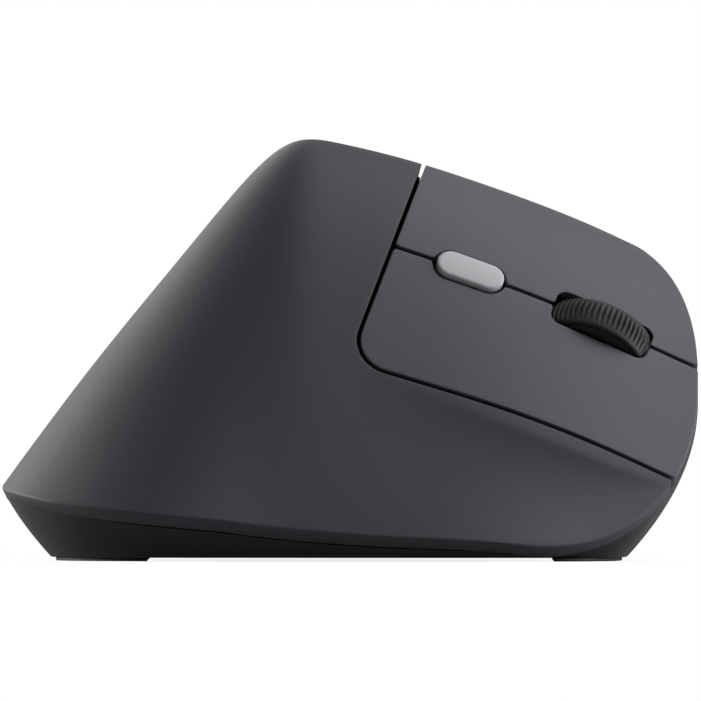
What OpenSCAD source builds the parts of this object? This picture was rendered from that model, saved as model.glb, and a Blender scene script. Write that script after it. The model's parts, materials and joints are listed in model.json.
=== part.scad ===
// Vertical ergonomic mouse for the right hand, cordless, with one AA cell.
// Millimetres. +Y is the nose, +X the finger side, +Z up, origin on the desk under the middle.

/* [Hand shape] */
// Length from the rear edge to the nose
body_len = 119; // [114:1:124]
// Width from the thumb ledge to the finger side edge
body_wid = 74.6; // [72:0.2:78]
// Height of the hump above the desk
body_high = 72.2; // [70:0.1:76]
// Thickness of the moulded shells
wall = 2; // [1.6:0.1:2.4]
// Thickness of the base's side wall
base_wall = 2; // [1.6:0.1:2.4]
// Thickness of the base's floor
floor_t = 2; // [1.8:0.1:2.4]
// Height over which the base flares outwards
flare_high = 26.4; // [22:0.2:30]
// How far the base flares outwards
flare_out = 12.2; // [11:0.1:13]
// Steepness of the scoop under the lower finger key
scoop = 0.35; // [0:0.05:0.45]

/* [Finger keys] */
// Lean of the finger face from level, seen from the nose
face_lean = 50; // [48:0.5:52]
// Fall of the finger face towards the nose
face_pitch = 21; // [20:0.5:22]
// Distance from the wheel back to the keys' rear seam
key_back = 38; // [37:0.5:40]
// Distance from the wheel down to the lower key's outer seam
key_drop = 24; // [23:0.5:26]
// Radius of the lower key's rear corner
key_corner = 6; // [3:0.5:9]
// Depth to which the upper key wraps over the ridge
key_skirt = 13; // [12:0.5:14]
// Width of the seams between shells
seam = 0.55; // [0.4:0.05:0.8]
// Gap under the upper key's wrapped edge
skirt_gap = 1.2; // [1:0.1:1.6]
// Room under the keys for their travel
key_room = 1.3; // [1.1:0.1:1.6]

/* [Scroll wheel] */
// Radius of the wheel over its tread
wheel_r = 11; // [10:0.25:11.5]
// Width of the tread
wheel_w = 5.8; // [5:0.2:6.4]
// How far the wheel stands proud of the face
wheel_proud = 3; // [2.5:0.25:3.5]
// Thickness of the rubber tyre
tyre_t = 1.6; // [1.2:0.1:2.4]
// Number of grooves in the tread
tread_grooves = 70; // [56:2:76]
// Length of the slot for the wheel
slot_len = 17.8; // [17.4:0.2:19]
// Width of the slot for the wheel
slot_wid = 7.4; // [7:0.2:8.4]
// Diameter of the wheel's axle
axle_d = 2.4; // [2:0.1:3]

/* [Speed button] */
// Length of the pointer speed button
speed_len = 12; // [11:0.2:14]
// Width of the pointer speed button
speed_wid = 5.4; // [5.2:0.2:6.4]
// Height of the button above the face
speed_rise = 1.1; // [0.6:0.1:1.6]
// Distance from the wheel back to the button
speed_back = 24.3; // [23.8:0.1:25]

/* [Thumb side] */
// Length of each thumb button
thumb_len = 14; // [12:0.5:15]
// Width of each thumb button
thumb_wid = 6; // [5:0.2:7]
// Height of the thumb buttons above the cover
thumb_rise = 1; // [0.5:0.1:1.4]
// Distance between the middles of the thumb buttons
thumb_step = 18; // [17:0.5:19]
// Reach of the thumb cover down the side
thumb_low = 20; // [18:0.5:22]
// Reach of the thumb cover behind the buttons
thumb_back = 24; // [22:0.5:26]

/* [Cell and underside] */
// Diameter of the cell
cell_d = 14.5; // [13.5:0.1:14.5]
// Length of the cell with its tip
cell_len = 50.5; // [49:0.5:51]
// Thickness of the glide pads
pad_t = 0.6; // [0.4:0.1:0.8]
// Distance of the pads from the foot's edge
pad_inset = 0.8; // [0.5:0.1:1.5]
// Width of the rear pad's band
pad_band = 4.5; // [4:0.25:5]
// Travel of the power switch
power_travel = 2.5; // [2:0.1:3]
// Length of the stored receiver
receiver_len = 19; // [17:0.5:20]

/* [Hardware] */
// Diameter of the keys' pivot pin
pin_d = 3; // [2.5:0.1:3.2]
// Radial clearance of turning pins and axles
run_gap = 0.05; // [0.03:0.01:0.09]
// Clearance of sliding pieces
slide_gap = 0.15; // [0.1:0.05:0.25]
// Clearance between pieces that rest on one another
seat_gap = 0.05; // [0.02:0.01:0.1]
// Shank diameter of the case screws
screw_d = 2.3; // [2:0.1:2.5]
// Head diameter of the case screws
screw_head_d = 4.2; // [3.8:0.1:4.4]
// Thickness of the circuit boards
board_t = 1.2; // [1:0.1:1.6]

/* [Hidden] */
$fn = 48;

// Sizes at which the hand shape's stations are drawn
drawn = [74.6, 119, 72.2];
stretch = [body_wid / drawn.x, body_len / drawn.y, body_high / drawn.z];

// Section of the hand shape: share of the side's width out from the ridge, share of the ridge's height.
// The finger side runs from its foot up to the ridge, the thumb side on down to the thumb's ledge
finger_half = [
    [1.22, -0.24], [1.0, 0.05], [0.81, 0.30], [0.61, 0.55], [0.40, 0.79], [0.18, 0.965], [0, 1.03]
];
thumb_half = [[-0.20, 0.97], [-0.40, 0.76], [-0.36, 0.46], [-0.62, 0.20], [-1.0, 0.11], [-1.45, 0.05]];
heel_half = [for (k = [len(finger_half) - 2 : -1 : 0]) [-finger_half[k].x, finger_half[k].y]];
// Stations from rear to nose: place along Y, ridge height, ridge place, finger side width, thumb side width,
// and how far the thumb side is hollowed, from none at the heel
stations = [
    [-80, -15, 0.7, 40, 40, 0],
    [-62, 9.5, 0.7, 28.2, 38, 0],
    [-45, 32.7, -2.3, 40.4, 36, 0.25],
    [-29, 51.6, -5.3, 46.1, 32, 0.75],
    [-17, 66.4, -8.3, 46.7, 29, 1],
    [-9.5, 72.5, -9.3, 47, 28, 1],
    [-2, 71, -9.8, 47.2, 27, 1],
    [10, 68.3, -10.3, 47.6, 26, 1],
    [26, 63, -11.3, 49.2, 24.5, 1],
    [43, 56.7, -12.3, 47, 23, 1],
    [60, 47.8, -13.3, 41.3, 22, 1],
    [78, 45.5, -14.3, 35.4, 22, 1]
];
spans_u = len(stations) - 3;
spans_v = len(finger_half) + len(thumb_half) - 3;
ridge_v = len(finger_half) - 2;
// Steps drawn in each span
fine = 4;
steps_u = fine * spans_u;
steps_v = fine * spans_v;

function section(s) = concat(
    finger_half,
    [for (k = [0 : len(thumb_half) - 1]) s[5] * thumb_half[k] + (1 - s[5]) * heel_half[k]]
);
function net_point(s, c) = [
    (s[2] + c[0] * (c[0] > 0 ? s[3] : s[4])) * stretch.x,
    s[0] * stretch.y,
    c[1] * s[1] * stretch.z
];
net = [for (s = stations) [for (c = section(s)) net_point(s, c)]];

// Weights of a uniform cubic spline
function weights(t) = [
    pow(1 - t, 3),
    3 * pow(t, 3) - 6 * t * t + 4,
    1 + 3 * t + 3 * t * t - 3 * pow(t, 3),
    pow(t, 3)
] / 6;

// Point of the smooth sheet that the hand rests on
function sheet(u, v) =
    let (
        i = min(floor(u), spans_u - 1),
        j = min(floor(v), spans_v - 1),
        b = weights(v - j)
    )
    weights(u - i) * [for (p = [0 : 3]) b * [for (q = [0 : 3]) net[i + p][j + q]]];

// The scoop runs from a crease under the lower key down to the flare's edge
crease_z0 = 33.6;
crease_fall = 0.384;
edge_z0 = 3.2;
edge_rise = 0.037;
edge_y = 38;
scoop_from = -6;
scoop_full = 42;
function smooth(t) = let (c = min(max(t, 0), 1)) c * c * (3 - 2 * c);
function scoop_depth(y, z) =
    let (
        high = crease_z0 - crease_fall * y,
        low = edge_z0 + edge_rise * pow(max(0, y - edge_y), 2),
        s = (high - z) / (high - low)
    )
    scoop * smooth((y - scoop_from) / (scoop_full - scoop_from)) * (high - low) * max(0, s * (1 - s));
function scooped(p, v) =
    v > ridge_v ? p : p - [scoop_depth(p.y / stretch.y, p.z / stretch.z), 0, 0];

// Grid of the sheet, and how each point moves for one millimetre of depth, within its own station plane
grid = [
    for (a = [0 : steps_u]) [
        for (b = [0 : steps_v])
            scooped(sheet(a / fine, b / fine), b / fine)
    ]
];
function grid_normal(a, b) =
    let (
        along = grid[min(a + 1, steps_u)][b] - grid[max(a - 1, 0)][b],
        across = grid[a][min(b + 1, steps_v)] - grid[a][max(b - 1, 0)],
        n = cross(along, across)
    )
    n / norm(n);
inward = [
    for (a = [0 : steps_u]) [
        for (b = [0 : steps_v])
            let (n = grid_normal(a, b)) [n.x, 0, n.z] / (n.x * n.x + n.z * n.z)
    ]
];

// Windows of the sheet, each from one span to another along and across
whole = [0, spans_u, 0, spans_v];
front_window = [4, spans_u, 0, spans_v];
left_key_window = [4, spans_u, 2, 7];
right_key_window = [4, spans_u, 0, 4];
lever_window = [4, spans_u, 1, 7];
speed_window = [5, 8, 1, 4];
thumb_window = [3, spans_u, 4, spans_v];
side_window = [4, spans_u, 6, 9];

function layer(depth, w) = [
    for (a = [w[0] * fine : w[1] * fine]) for (b = [w[2] * fine : w[3] * fine])
        grid[a][b] - depth * inward[a][b]
];
function layer_faces(nu, nv) = [
    for (a = [0 : nu - 1]) for (b = [0 : nv - 1])
        let (
            i = a * (nv + 1) + b,
            j = i + nv + 1
        )
        each [[i, i + 1, j], [i + 1, j + 1, j]]
];

// The sheet with thickness, between two depths
module skin(top, bottom, w) {
    nu = (w[1] - w[0]) * fine;
    nv = (w[3] - w[2]) * fine;
    row = nv + 1;
    last = nu * row;
    count = last + row;
    upper_faces = layer_faces(nu, nv);
    lower_faces = [for (f = upper_faces) [f[0], f[2], f[1]] + [count, count, count]];
    right_edge = [
        for (a = [0 : nu - 1])
            let (i = a * row, j = i + row) each [[i, j, j + count], [i, j + count, i + count]]
    ];
    left_edge = [
        for (a = [0 : nu - 1])
            let (i = a * row + nv, j = i + row) each [[j, i, i + count], [j, i + count, j + count]]
    ];
    rear_edge = [
        for (b = [0 : nv - 1])
            each [[b + 1, b, b + count], [b + 1, b + count, b + 1 + count]]
    ];
    front_edge = [
        for (b = [0 : nv - 1])
            let (i = last + b, j = i + 1) each [[i, j, j + count], [i, j + count, i + count]]
    ];
    polyhedron(
        concat(layer(top, w), layer(bottom, w)),
        concat(upper_faces, lower_faces, right_edge, left_edge, rear_edge, front_edge)
    );
}

// Everything below the sheet at one depth
under_z = -40;
module under(depth, w) {
    nu = (w[1] - w[0]) * fine;
    nv = (w[3] - w[2]) * fine;
    row = nv + 1;
    last = nu * row;
    right = last + row;
    left = right + nu + 1;
    top = layer(depth, w);
    right_feet = [for (a = [0 : nu]) let (p = top[a * row]) [p.x, p.y, under_z]];
    left_feet = [for (a = [0 : nu]) let (p = top[a * row + nv]) [p.x, p.y, under_z]];
    right_wall = [for (a = [0 : nu - 1]) [a * row, (a + 1) * row, right + a + 1, right + a]];
    left_wall = [for (a = [0 : nu - 1]) [(a + 1) * row + nv, a * row + nv, left + a, left + a + 1]];
    rear_wall = concat([for (b = [nv : -1 : 0]) b], [right, left]);
    front_wall = concat([for (b = [0 : nv]) last + b], [left + nu, right + nu]);
    bottom = concat([for (a = [0 : nu]) right + a], [for (a = [nu : -1 : 0]) left + a]);
    polyhedron(
        concat(top, right_feet, left_feet),
        concat(layer_faces(nu, nv), right_wall, left_wall, [rear_wall, front_wall, bottom])
    );
}

// Footprint of the base: the outline round four circles, each with its middle and radius
foot_rounds = [[2.2, -21.6, 29.7], [-14.4, 3.5, 18], [19.3, 30.2, 16.1], [8.2, 35.5, 11.8]];
foot_steps = 72;
function foot_point(phi, out) =
    let (
        n = [cos(phi), sin(phi)],
        reach = [for (c = foot_rounds) c.x * n.x + c.y * n.y + c[2]],
        c = foot_rounds[search(max(reach), reach)[0]]
    )
    [(c.x + c[2] * n.x) * stretch.x + out * n.x, (c.y + c[2] * n.y) * stretch.y + out * n.y];
function foot_outline(out) = [for (k = [0 : foot_steps - 1]) foot_point(k * 360 / foot_steps, out)];

base_z = pad_t;
floor_z = base_z + floor_t;
flare_steps = [0, 0.09, 0.2, 0.35, 0.55, 0.77, 1];
tub_top = body_high + 12;
function flare(z) = let (t = min(max((z - base_z) / flare_high, 0), 1)) flare_out * (2 * t - t * t);

// The base's outer form, or the form inside its wall, from one height up
module tub(inset, from_z) {
    heights = concat(
        [from_z],
        [for (t = flare_steps) if (base_z + t * flare_high > from_z + 0.5) base_z + t * flare_high],
        [tub_top]
    );
    points = [for (z = heights) each [for (p = foot_outline(flare(z) - inset)) [p.x, p.y, z]]];
    sides = [
        for (k = [0 : len(heights) - 2]) for (j = [0 : foot_steps - 1])
            let (
                i = k * foot_steps + j,
                n = k * foot_steps + (j + 1) % foot_steps
            )
            each [[i, i + foot_steps, n + foot_steps], [i, n + foot_steps, n]]
    ];
    floor_face = [for (j = [0 : foot_steps - 1]) j];
    top_face = [for (j = [foot_steps - 1 : -1 : 0]) (len(heights) - 1) * foot_steps + j];
    polyhedron(points, concat(sides, [floor_face, top_face]));
}

// Box between pairs of limits
module block(x, y, z) {
    translate([x[0], y[0], z[0]])
        cube([x[1] - x[0], y[1] - y[0], z[1] - z[0]]);
}

// Bar with round ends along Y
module pill(length, width, z) {
    straight = (length - width) / 2;
    block([-width / 2, width / 2], [-straight, straight], z);
    for (side = [-1, 1])
        translate([0, side * straight, z[0]])
            cylinder(d = width, h = z[1] - z[0]);
}

// Finger face: its frame stands on the sheet at the wheel, X down the slope, Y to the nose, Z outwards
wheel_u = 8.008;
wheel_v = 2.725;
face_at = sheet(wheel_u, wheel_v);
module on_face() {
    translate(face_at)
        rotate([-face_pitch, 0, 0])
            rotate([0, face_lean, 0])
                children();
}
function face_point(p) =
    let (
        q = [p.x * cos(face_lean) + p.z * sin(face_lean), p.y, p.z * cos(face_lean) - p.x * sin(face_lean)]
    )
    face_at + [
        q.x,
        q.y * cos(face_pitch) + q.z * sin(face_pitch),
        q.z * cos(face_pitch) - q.y * sin(face_pitch)
    ];

// Thumb side: its frame stands on the sheet between the thumb buttons, X up the side, Z outwards
thumb_u = 6.259;
thumb_v = 7.194;
thumb_lean = 86;
thumb_at = sheet(thumb_u, thumb_v);
module on_thumb() {
    translate(thumb_at)
        rotate([-face_pitch, 0, 0])
            rotate([0, -thumb_lean, 0])
                children();
}

// Rectangle with its corner at the end of x and the start of y rounded
corner_steps = 8;
function one_corner(x, y, r) = concat(
    [[x[0], y[0]]],
    [
        for (k = [0 : corner_steps])
            let (a = -90 + 90 * k / corner_steps)
            [x[1] - r + r * cos(a), y[0] + r + r * sin(a)]
    ],
    [[x[1], y[1]], [x[0], y[1]]]
);

far = 60;
above = 25;
below = 20;

// Room of each finger key in the sheet
module left_key_room() {
    on_face()
        block([-far, -seam / 2], [-key_back, far], [-key_skirt, above]);
}
module right_key_room() {
    on_face()
        translate([0, 0, -below])
            linear_extrude(below + above)
                polygon(one_corner([seam / 2, key_drop], [-key_back, far], key_corner));
}
// Opening of the shell for both keys, down past the upper key's wrapped edge
module key_opening() {
    on_face()
        translate([0, 0, -key_skirt - skirt_gap])
            linear_extrude(key_skirt + skirt_gap + above)
                polygon(one_corner([-far, key_drop + seam], [-key_back - seam, far], key_corner + seam));
}
module under_skirt(gap) {
    on_face()
        block([-far, far], [-2 * far, far], [-2 * far, -key_skirt - skirt_gap + gap]);
}
thumb_corner = 10;
thumb_depth = 10;
thumb_top = 20;
module thumb_room(gap) {
    on_thumb()
        mirror([1, 0, 0])
            translate([0, 0, -thumb_depth])
                linear_extrude(2 * thumb_depth)
                    polygon(one_corner(
                        [-thumb_top - gap, thumb_low + gap],
                        [-thumb_back - gap, far],
                        thumb_corner + gap
                    ));
}
module wheel_slot() {
    corner = 2;
    on_face()
        translate([0, 0, -below]) {
            linear_extrude(below + above) {
                square([slot_wid - 2 * corner, slot_len], center = true);
                square([slot_wid, slot_len - 2 * corner], center = true);
                for (x = [-1, 1]) for (y = [-1, 1])
                    translate([x * (slot_wid / 2 - corner), y * (slot_len / 2 - corner)])
                        circle(corner);
            }
        }
}
wheel_gap = 0.8;
module wheel_room(width) {
    on_axle()
        translate([0, 0, -width / 2])
            cylinder(r = wheel_r + wheel_gap, h = width);
}
speed_gap = 0.7;
module speed_hole() {
    on_face()
        translate([0, -speed_back, 0])
            pill(speed_len + 2 * speed_gap, speed_wid + 2 * speed_gap, [-below, above]);
}
thumb_gap = 0.35;
module at_thumb_button(side) {
    on_thumb()
        translate([0, side * thumb_step / 2, 0])
            children();
}
thumb_sides = [-1, 1];

// Colours
shell_grey = [0.27, 0.26, 0.28];
key_grey = [0.37, 0.36, 0.38];
base_grey = [0.11, 0.1, 0.12];
speed_grey = [0.69, 0.69, 0.7];
rubber_black = [0.05, 0.05, 0.055];
frame_grey = [0.2, 0.2, 0.22];
board_green = [0.05, 0.28, 0.16];
steel = [0.75, 0.76, 0.78];
chip_black = [0.08, 0.08, 0.09];
clear_blue = [0.75, 0.85, 0.9];

// Case screws and the bosses that they draw together
screw_places = [[16, -36], [-19, -32], [26, 16], [-24, 9]];
boss_d = 6;
boss_joint = 8;
screw_head_h = 1.6;
screw_seat = floor_z + 1;
screw_len = 11;
module shell_bosses() {
    intersection() {
        for (p = screw_places)
            translate([p.x * stretch.x, p.y * stretch.y, boss_joint + seat_gap])
                cylinder(d = boss_d, h = body_high);
        under(wall / 2, whole);
    }
}
module screw_bores(d, from_z, to_z) {
    for (p = screw_places)
        translate([p.x * stretch.x, p.y * stretch.y, from_z])
            cylinder(d = d, h = to_z - from_z);
}

module main_shell() {
    color(shell_grey)
        difference() {
            union() {
                intersection() {
                    skin(0, wall, whole);
                    tub(0, base_z);
                }
                shell_bosses();
            }
            key_opening();
            intersection() {
                thumb_room(seam);
                under_skirt(seam);
            }
            screw_bores(screw_d + 2 * run_gap, 0, screw_seat + screw_len + 1);
        }
}

module thumb_cover() {
    color(shell_grey)
        difference() {
            union() {
                intersection() {
                    skin(0, wall, thumb_window);
                    tub(0, base_z);
                    thumb_room(0);
                    under_skirt(0);
                }
                side_posts();
            }
            for (side = thumb_sides)
                at_thumb_button(side)
                    pill(thumb_len + 2 * thumb_gap, thumb_wid + 2 * thumb_gap, [-thumb_depth, thumb_depth]);
        }
}

module left_key_cover() {
    color(key_grey)
        difference() {
            intersection() {
                skin(0, wall, left_key_window);
                tub(0, base_z);
                left_key_room();
            }
            wheel_slot();
            wheel_room(slot_wid);
            speed_hole();
        }
}

module right_key_cover() {
    color(key_grey)
        difference() {
            intersection() {
                skin(0, wall, right_key_window);
                tub(0, base_z);
                right_key_room();
            }
            wheel_slot();
            wheel_room(slot_wid);
            speed_hole();
        }
}

// Stack below the finger face, measured outwards from the face
lever_z = -7.5;
lever_t = 1.6;
nub_h = 0.5;
nub_d = 3;
switch_size = [5.8, 12.8, 5.5];
plunger_rise = 0.8;
plunger_d = 2;
plunger_sunk = 1;
plunger_top = lever_z - nub_h - seat_gap;
switch_top = plunger_top - plunger_rise;
board_top = switch_top - switch_size.z;
frame_top = board_top - board_t;
frame_t = 1.8;
frame_low = frame_top - frame_t;
tact_h = 3.1;
tact_rise = 0.65;
tact_top = board_top + tact_h + tact_rise;

// Pivot of both finger keys
pin_y = 4 - key_back;
pin_z = lever_z - 2;
barrel_d = pin_d + 3.4;

// Lanes across the finger face
wheel_z = wheel_proud - wheel_r;
cradle_in = wheel_w / 2 + 0.6;
cradle_wall = 1.5;
cradle_out = cradle_in + cradle_wall;
lane_gap = 0.4;
lever_in = cradle_out + lane_gap;
left_lever = [-lever_in - 8.2, -lever_in];
right_lever = [lever_in, lever_in + 14.2];
encoder_w = 4.3;
encoder_x = [cradle_out + seat_gap, cradle_out + encoder_w];
encoder_y = [-5, 5];
encoder_room = 9;
lever_notch = encoder_x[1] + 0.6;
switch_y = -7.4;
left_switch_x = -lever_in - 4.6;
right_switch_x = lever_notch + 4.2;
switch_shift = 1.6;
left_front = -1;
right_front = 10;
rib_t = 1.4;

// Plate with a pivot barrel at its rear and ribs up to the cover that it carries
module lever_form(x, front, ribs) {
    block(x, [pin_y, front], [lever_z, lever_z + lever_t]);
    block(x, [pin_y - barrel_d / 2, pin_y + barrel_d / 2], [pin_z, lever_z + lever_t]);
    translate([x[0], pin_y, pin_z])
        rotate([0, 90, 0])
            cylinder(d = barrel_d, h = x[1] - x[0]);
    for (y = ribs)
        block(x, [y - rib_t / 2, y + rib_t / 2], [lever_z, above]);
}
module key_lever(x, front, ribs, switch_x, notched) {
    difference() {
        union() {
            intersection() {
                on_face() {
                    lever_form(x, front, ribs);
                    block([switch_x - rib_t / 2, switch_x + rib_t / 2], [ribs[0], front], [lever_z, above]);
                }
                under(wall + seat_gap, lever_window);
            }
            on_face()
                translate([switch_x, switch_y, lever_z - nub_h])
                    cylinder(d = nub_d, h = nub_h + lever_t);
        }
        on_face() {
            translate([x[0] - 1, pin_y, pin_z])
                rotate([0, 90, 0])
                    cylinder(d = pin_d + 2 * run_gap, h = x[1] - x[0] + 2);
            if (notched)
                block([0, lever_notch], [-encoder_room, far], [-below, above]);
        }
    }
}
module left_key_lever() {
    color(frame_grey)
        key_lever(left_lever, left_front, [-27, -16, -2], left_switch_x, false);
}
module right_key_lever() {
    color(frame_grey)
        key_lever(right_lever, right_front, [-27, -16, -3, 9], right_switch_x, true);
}

ear_t = 2;
pin_ears = [-cradle_out, cradle_out - ear_t, right_lever[1] + lane_gap];
pin_end = right_lever[1] + lane_gap + ear_t;
module key_pivot_pin() {
    color(steel)
        on_face()
            translate([left_lever[0], pin_y, pin_z])
                rotate([0, 90, 0])
                    cylinder(d = pin_d, h = pin_end - left_lever[0]);
}

// Frame that carries the pivot, the board, the wheel and the speed button
frame_rear = pin_y - barrel_d / 2 - 0.4;
// Corners of its plate: past the right lever, ahead of the wheel, and round the left switch
frame_right = [pin_end, 2];
frame_nose = [[16, 13], [6, 13]];
frame_neck = [[-4, 6], [-9, 1]];
frame_left = [left_switch_x - 3.8, -3];
frame_notch = [left_lever[1], -16];
frame_outline = concat(
    [[frame_notch.x, frame_rear], [frame_right.x, frame_rear], frame_right],
    frame_nose,
    frame_neck,
    [frame_left, [frame_left.x, frame_notch.y], frame_notch]
);
well = [wheel_w / 2 + 1, wheel_r - 0.4];
guide_t = 1.4;
guide_top = -8.7;
guide_places = [[-1, -11, -8], [-1, -2.5, 0.5], [1, -11, -8], [1, 5.4, 8.2]];
speed_block = [2.6, 5.1];
speed_guide = [speed_block.x + slide_gap, speed_block.x + slide_gap + 1.2];
speed_guide_len = 4;
speed_guide_top = -5.5;
module frame_posts(gap) {
    for (g = guide_places) {
        near = g[0] * (cradle_out + slide_gap - gap);
        away = g[0] * (cradle_out + slide_gap + guide_t + gap);
        block([min(near, away), max(near, away)], [g[1] - gap, g[2] + gap], [frame_low, guide_top]);
    }
    for (side = [-1, 1]) {
        near = side * (speed_guide[0] - gap);
        away = side * (speed_guide[1] + gap);
        block(
            [min(near, away), max(near, away)],
            [-speed_back - speed_guide_len - gap, -speed_back + speed_guide_len + gap],
            [frame_low, speed_guide_top]
        );
    }
}

// Cell along Y, with the bay that holds it
cell_x = -6;
cell_mid = -12.25;
cell_y = [cell_mid - cell_len / 2, cell_mid + cell_len / 2];
bay_gap = 0.4;
bay_t = 1.2;
bay_high = 12;
cell_z = floor_z + 0.3 + cell_d / 2;
bay_x = [cell_x - cell_d / 2 - bay_gap, cell_x + cell_d / 2 + bay_gap];
contact_t = 0.4;
spring_room = 2.5;
bay_y = [cell_y[0] - spring_room, cell_y[1] + contact_t + 2 * seat_gap];

// Walls of the frame that stand on the base
frame_wall_t = 2;
wall_a_y = bay_y[1] + bay_t + 1.2;
main_board_len = 12.6;
main_board_gap = 6.4;
main_board_from = wall_a_y + frame_wall_t + main_board_gap;
main_board_y = [main_board_from, main_board_from + main_board_len];
wall_b_y = main_board_y[1] + 1;
foot_z = 6;
foot_pad_t = 2;
foot_size = 3;
frame_feet = [
    [-5, wall_a_y + frame_wall_t + foot_size], [8, wall_a_y + frame_wall_t + foot_size],
    [6, wall_b_y + frame_wall_t + foot_size], [13.5, wall_b_y + frame_wall_t + foot_size]
];
frame_screw_d = 2;
tub_gap = 0.6;
module frame_stand() {
    intersection() {
        union() {
            block([-8, 11], [wall_a_y, wall_a_y + frame_wall_t], [floor_z + seat_gap, body_high]);
            block([-12, 16.5], [wall_b_y, wall_b_y + frame_wall_t], [floor_z + seat_gap, body_high]);
            for (p = frame_feet)
                block(
                    [p.x - foot_size, p.x + foot_size],
                    [p.y - foot_size - 1, p.y + foot_size],
                    [foot_z + seat_gap, foot_z + foot_pad_t]
                );
        }
        tub(base_wall + tub_gap, base_z);
        on_face()
            block([-far, far], [-far, far], [-2 * far, frame_top]);
    }
}
module inner_frame() {
    color(frame_grey)
        difference() {
            union() {
                on_face() {
                    translate([0, 0, frame_low])
                        linear_extrude(frame_t)
                            polygon(frame_outline);
                    for (x = pin_ears)
                        block(
                            [x, x + ear_t],
                            [pin_y - barrel_d / 2, pin_y + barrel_d / 2],
                            [frame_low, pin_z + barrel_d / 2]
                        );
                    frame_posts(0);
                }
                frame_stand();
            }
            on_face() {
                block([-well.x, well.x], [-well.y, well.y], [-2 * far, frame_top + 1]);
                translate([-well.x, 0, wheel_z])
                    rotate([0, 90, 0])
                        cylinder(r = wheel_r + 1, h = 2 * well.x);
                translate([left_lever[0], pin_y, pin_z])
                    rotate([0, 90, 0])
                        cylinder(d = pin_d, h = pin_end - left_lever[0] + 1);
            }
            for (p = frame_feet)
                translate([p.x, p.y, 0])
                    cylinder(d = frame_screw_d + 2 * run_gap, h = foot_z + 4);
        }
}

frame_screw_len = 5;
frame_head = [3.6, 1.3];
module frame_screws() {
    color(steel)
        for (p = frame_feet)
            translate([p.x, p.y, foot_z + foot_pad_t - frame_screw_len])
                difference() {
                    union() {
                        cylinder(d = frame_screw_d, h = frame_screw_len);
                        translate([0, 0, frame_screw_len])
                            cylinder(d = frame_head[0], h = frame_head[1]);
                    }
                    cross_slot(frame_screw_len + frame_head[1]);
                }
}

// Cross recess of a screw, sunk from one height
cross = [2.2, 0.5, 0.7];
module cross_slot(top) {
    for (turn = [0, 90])
        rotate(turn)
            block([-cross.x / 2, cross.x / 2], [-cross.y / 2, cross.y / 2], [top - cross.z, top + 0.1]);
}

// Board on the frame, in from its edges, with a plug for the ribbon
board_edge = 0.8;
key_board_rear = pin_y + barrel_d / 2 + board_edge;
plug_x = [pin_end - 6.4, pin_end - 3];
plug_y = [-27, -17];
plug_h = 2;
module key_board() {
    color(board_green)
        on_face()
            difference() {
                union() {
                    translate([0, 0, frame_top])
                        linear_extrude(board_t)
                            difference() {
                                offset(delta = -board_edge)
                                    polygon(frame_outline);
                                translate([-far, key_board_rear - far])
                                    square([2 * far, far]);
                            }
                    block(plug_x, plug_y, [frame_top, board_top + plug_h]);
                }
                block([-well.x, well.x], [-well.y, well.y], [-far, far]);
                frame_posts(slide_gap);
            }
}

// Snap switch under a finger key, and its plunger
module snap_switch(x) {
    on_face()
        difference() {
            block(
                [x - switch_size.x / 2, x + switch_size.x / 2],
                [switch_y - switch_shift - switch_size.y / 2, switch_y - switch_shift + switch_size.y / 2],
                [board_top, switch_top]
            );
            translate([x, switch_y, switch_top - plunger_sunk - 0.8])
                cylinder(d = plunger_d + 2 * slide_gap, h = 3);
        }
}
module snap_plunger(x) {
    on_face()
        translate([x, switch_y, switch_top - plunger_sunk])
            cylinder(d = plunger_d, h = plunger_sunk + plunger_rise);
}
module left_switch() { color(chip_black) snap_switch(left_switch_x); }
module left_switch_plunger() { color("firebrick") snap_plunger(left_switch_x); }
module right_switch() { color(chip_black) snap_switch(right_switch_x); }
module right_switch_plunger() { color("firebrick") snap_plunger(right_switch_x); }

// Small push switch standing on a board at z = 0, and its plunger
tact_d = 2.8;
tact_sunk = 0.5;
module tact_body(size) {
    difference() {
        block([-size / 2, size / 2], [-size / 2, size / 2], [0, tact_h]);
        translate([0, 0, tact_h - 2 * tact_sunk - 0.3])
            cylinder(d = tact_d + 2 * slide_gap, h = tact_h);
    }
}
module tact_plunger() {
    translate([0, 0, tact_h - tact_sunk])
        cylinder(d = tact_d, h = tact_sunk + tact_rise);
}

// Wheel with its axle across the finger face
module on_axle() {
    on_face()
        translate([0, 0, wheel_z])
            rotate([0, 90, 0])
                children();
}
hub_r = wheel_r - tyre_t;
module wheel_hub() {
    web_r = hub_r - 2.2;
    web_cut = 1.6;
    color(frame_grey)
        on_axle()
            difference() {
                union() {
                    translate([0, 0, -wheel_w / 2])
                        cylinder(r = hub_r, h = wheel_w);
                    translate([0, 0, -cradle_out])
                        cylinder(d = axle_d, h = cradle_out + encoder_x[1] - 0.8);
                }
                for (side = [-1, 1])
                    translate([0, 0, side * wheel_w / 2])
                        rotate_extrude()
                            translate([axle_d / 2 + 1.4, -web_cut])
                                square([web_r - axle_d / 2 - 1.4, 2 * web_cut]);
            }
}
groove_deep = 0.5;
rib_half = 0.3;
shoulder = 0.5;
rim_r = wheel_r - groove_deep - 0.15;
function tread_point(k, r) = let (a = k * 360 / tread_grooves) [r * cos(a), r * sin(a)];
module wheel_tyre() {
    color(rubber_black)
        on_axle()
            difference() {
                union() {
                    translate([0, 0, shoulder - wheel_w / 2])
                        linear_extrude(wheel_w - 2 * shoulder)
                            polygon([
                                for (k = [0 : tread_grooves - 1])
                                    each [
                                        tread_point(k - rib_half, wheel_r),
                                        tread_point(k + rib_half, wheel_r),
                                        tread_point(k + 0.5, wheel_r - groove_deep)
                                    ]
                            ]);
                    translate([0, 0, -wheel_w / 2])
                        cylinder(r = rim_r, h = wheel_w);
                }
                translate([0, 0, -wheel_w])
                    cylinder(r = hub_r, h = 2 * wheel_w);
            }
}
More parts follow.
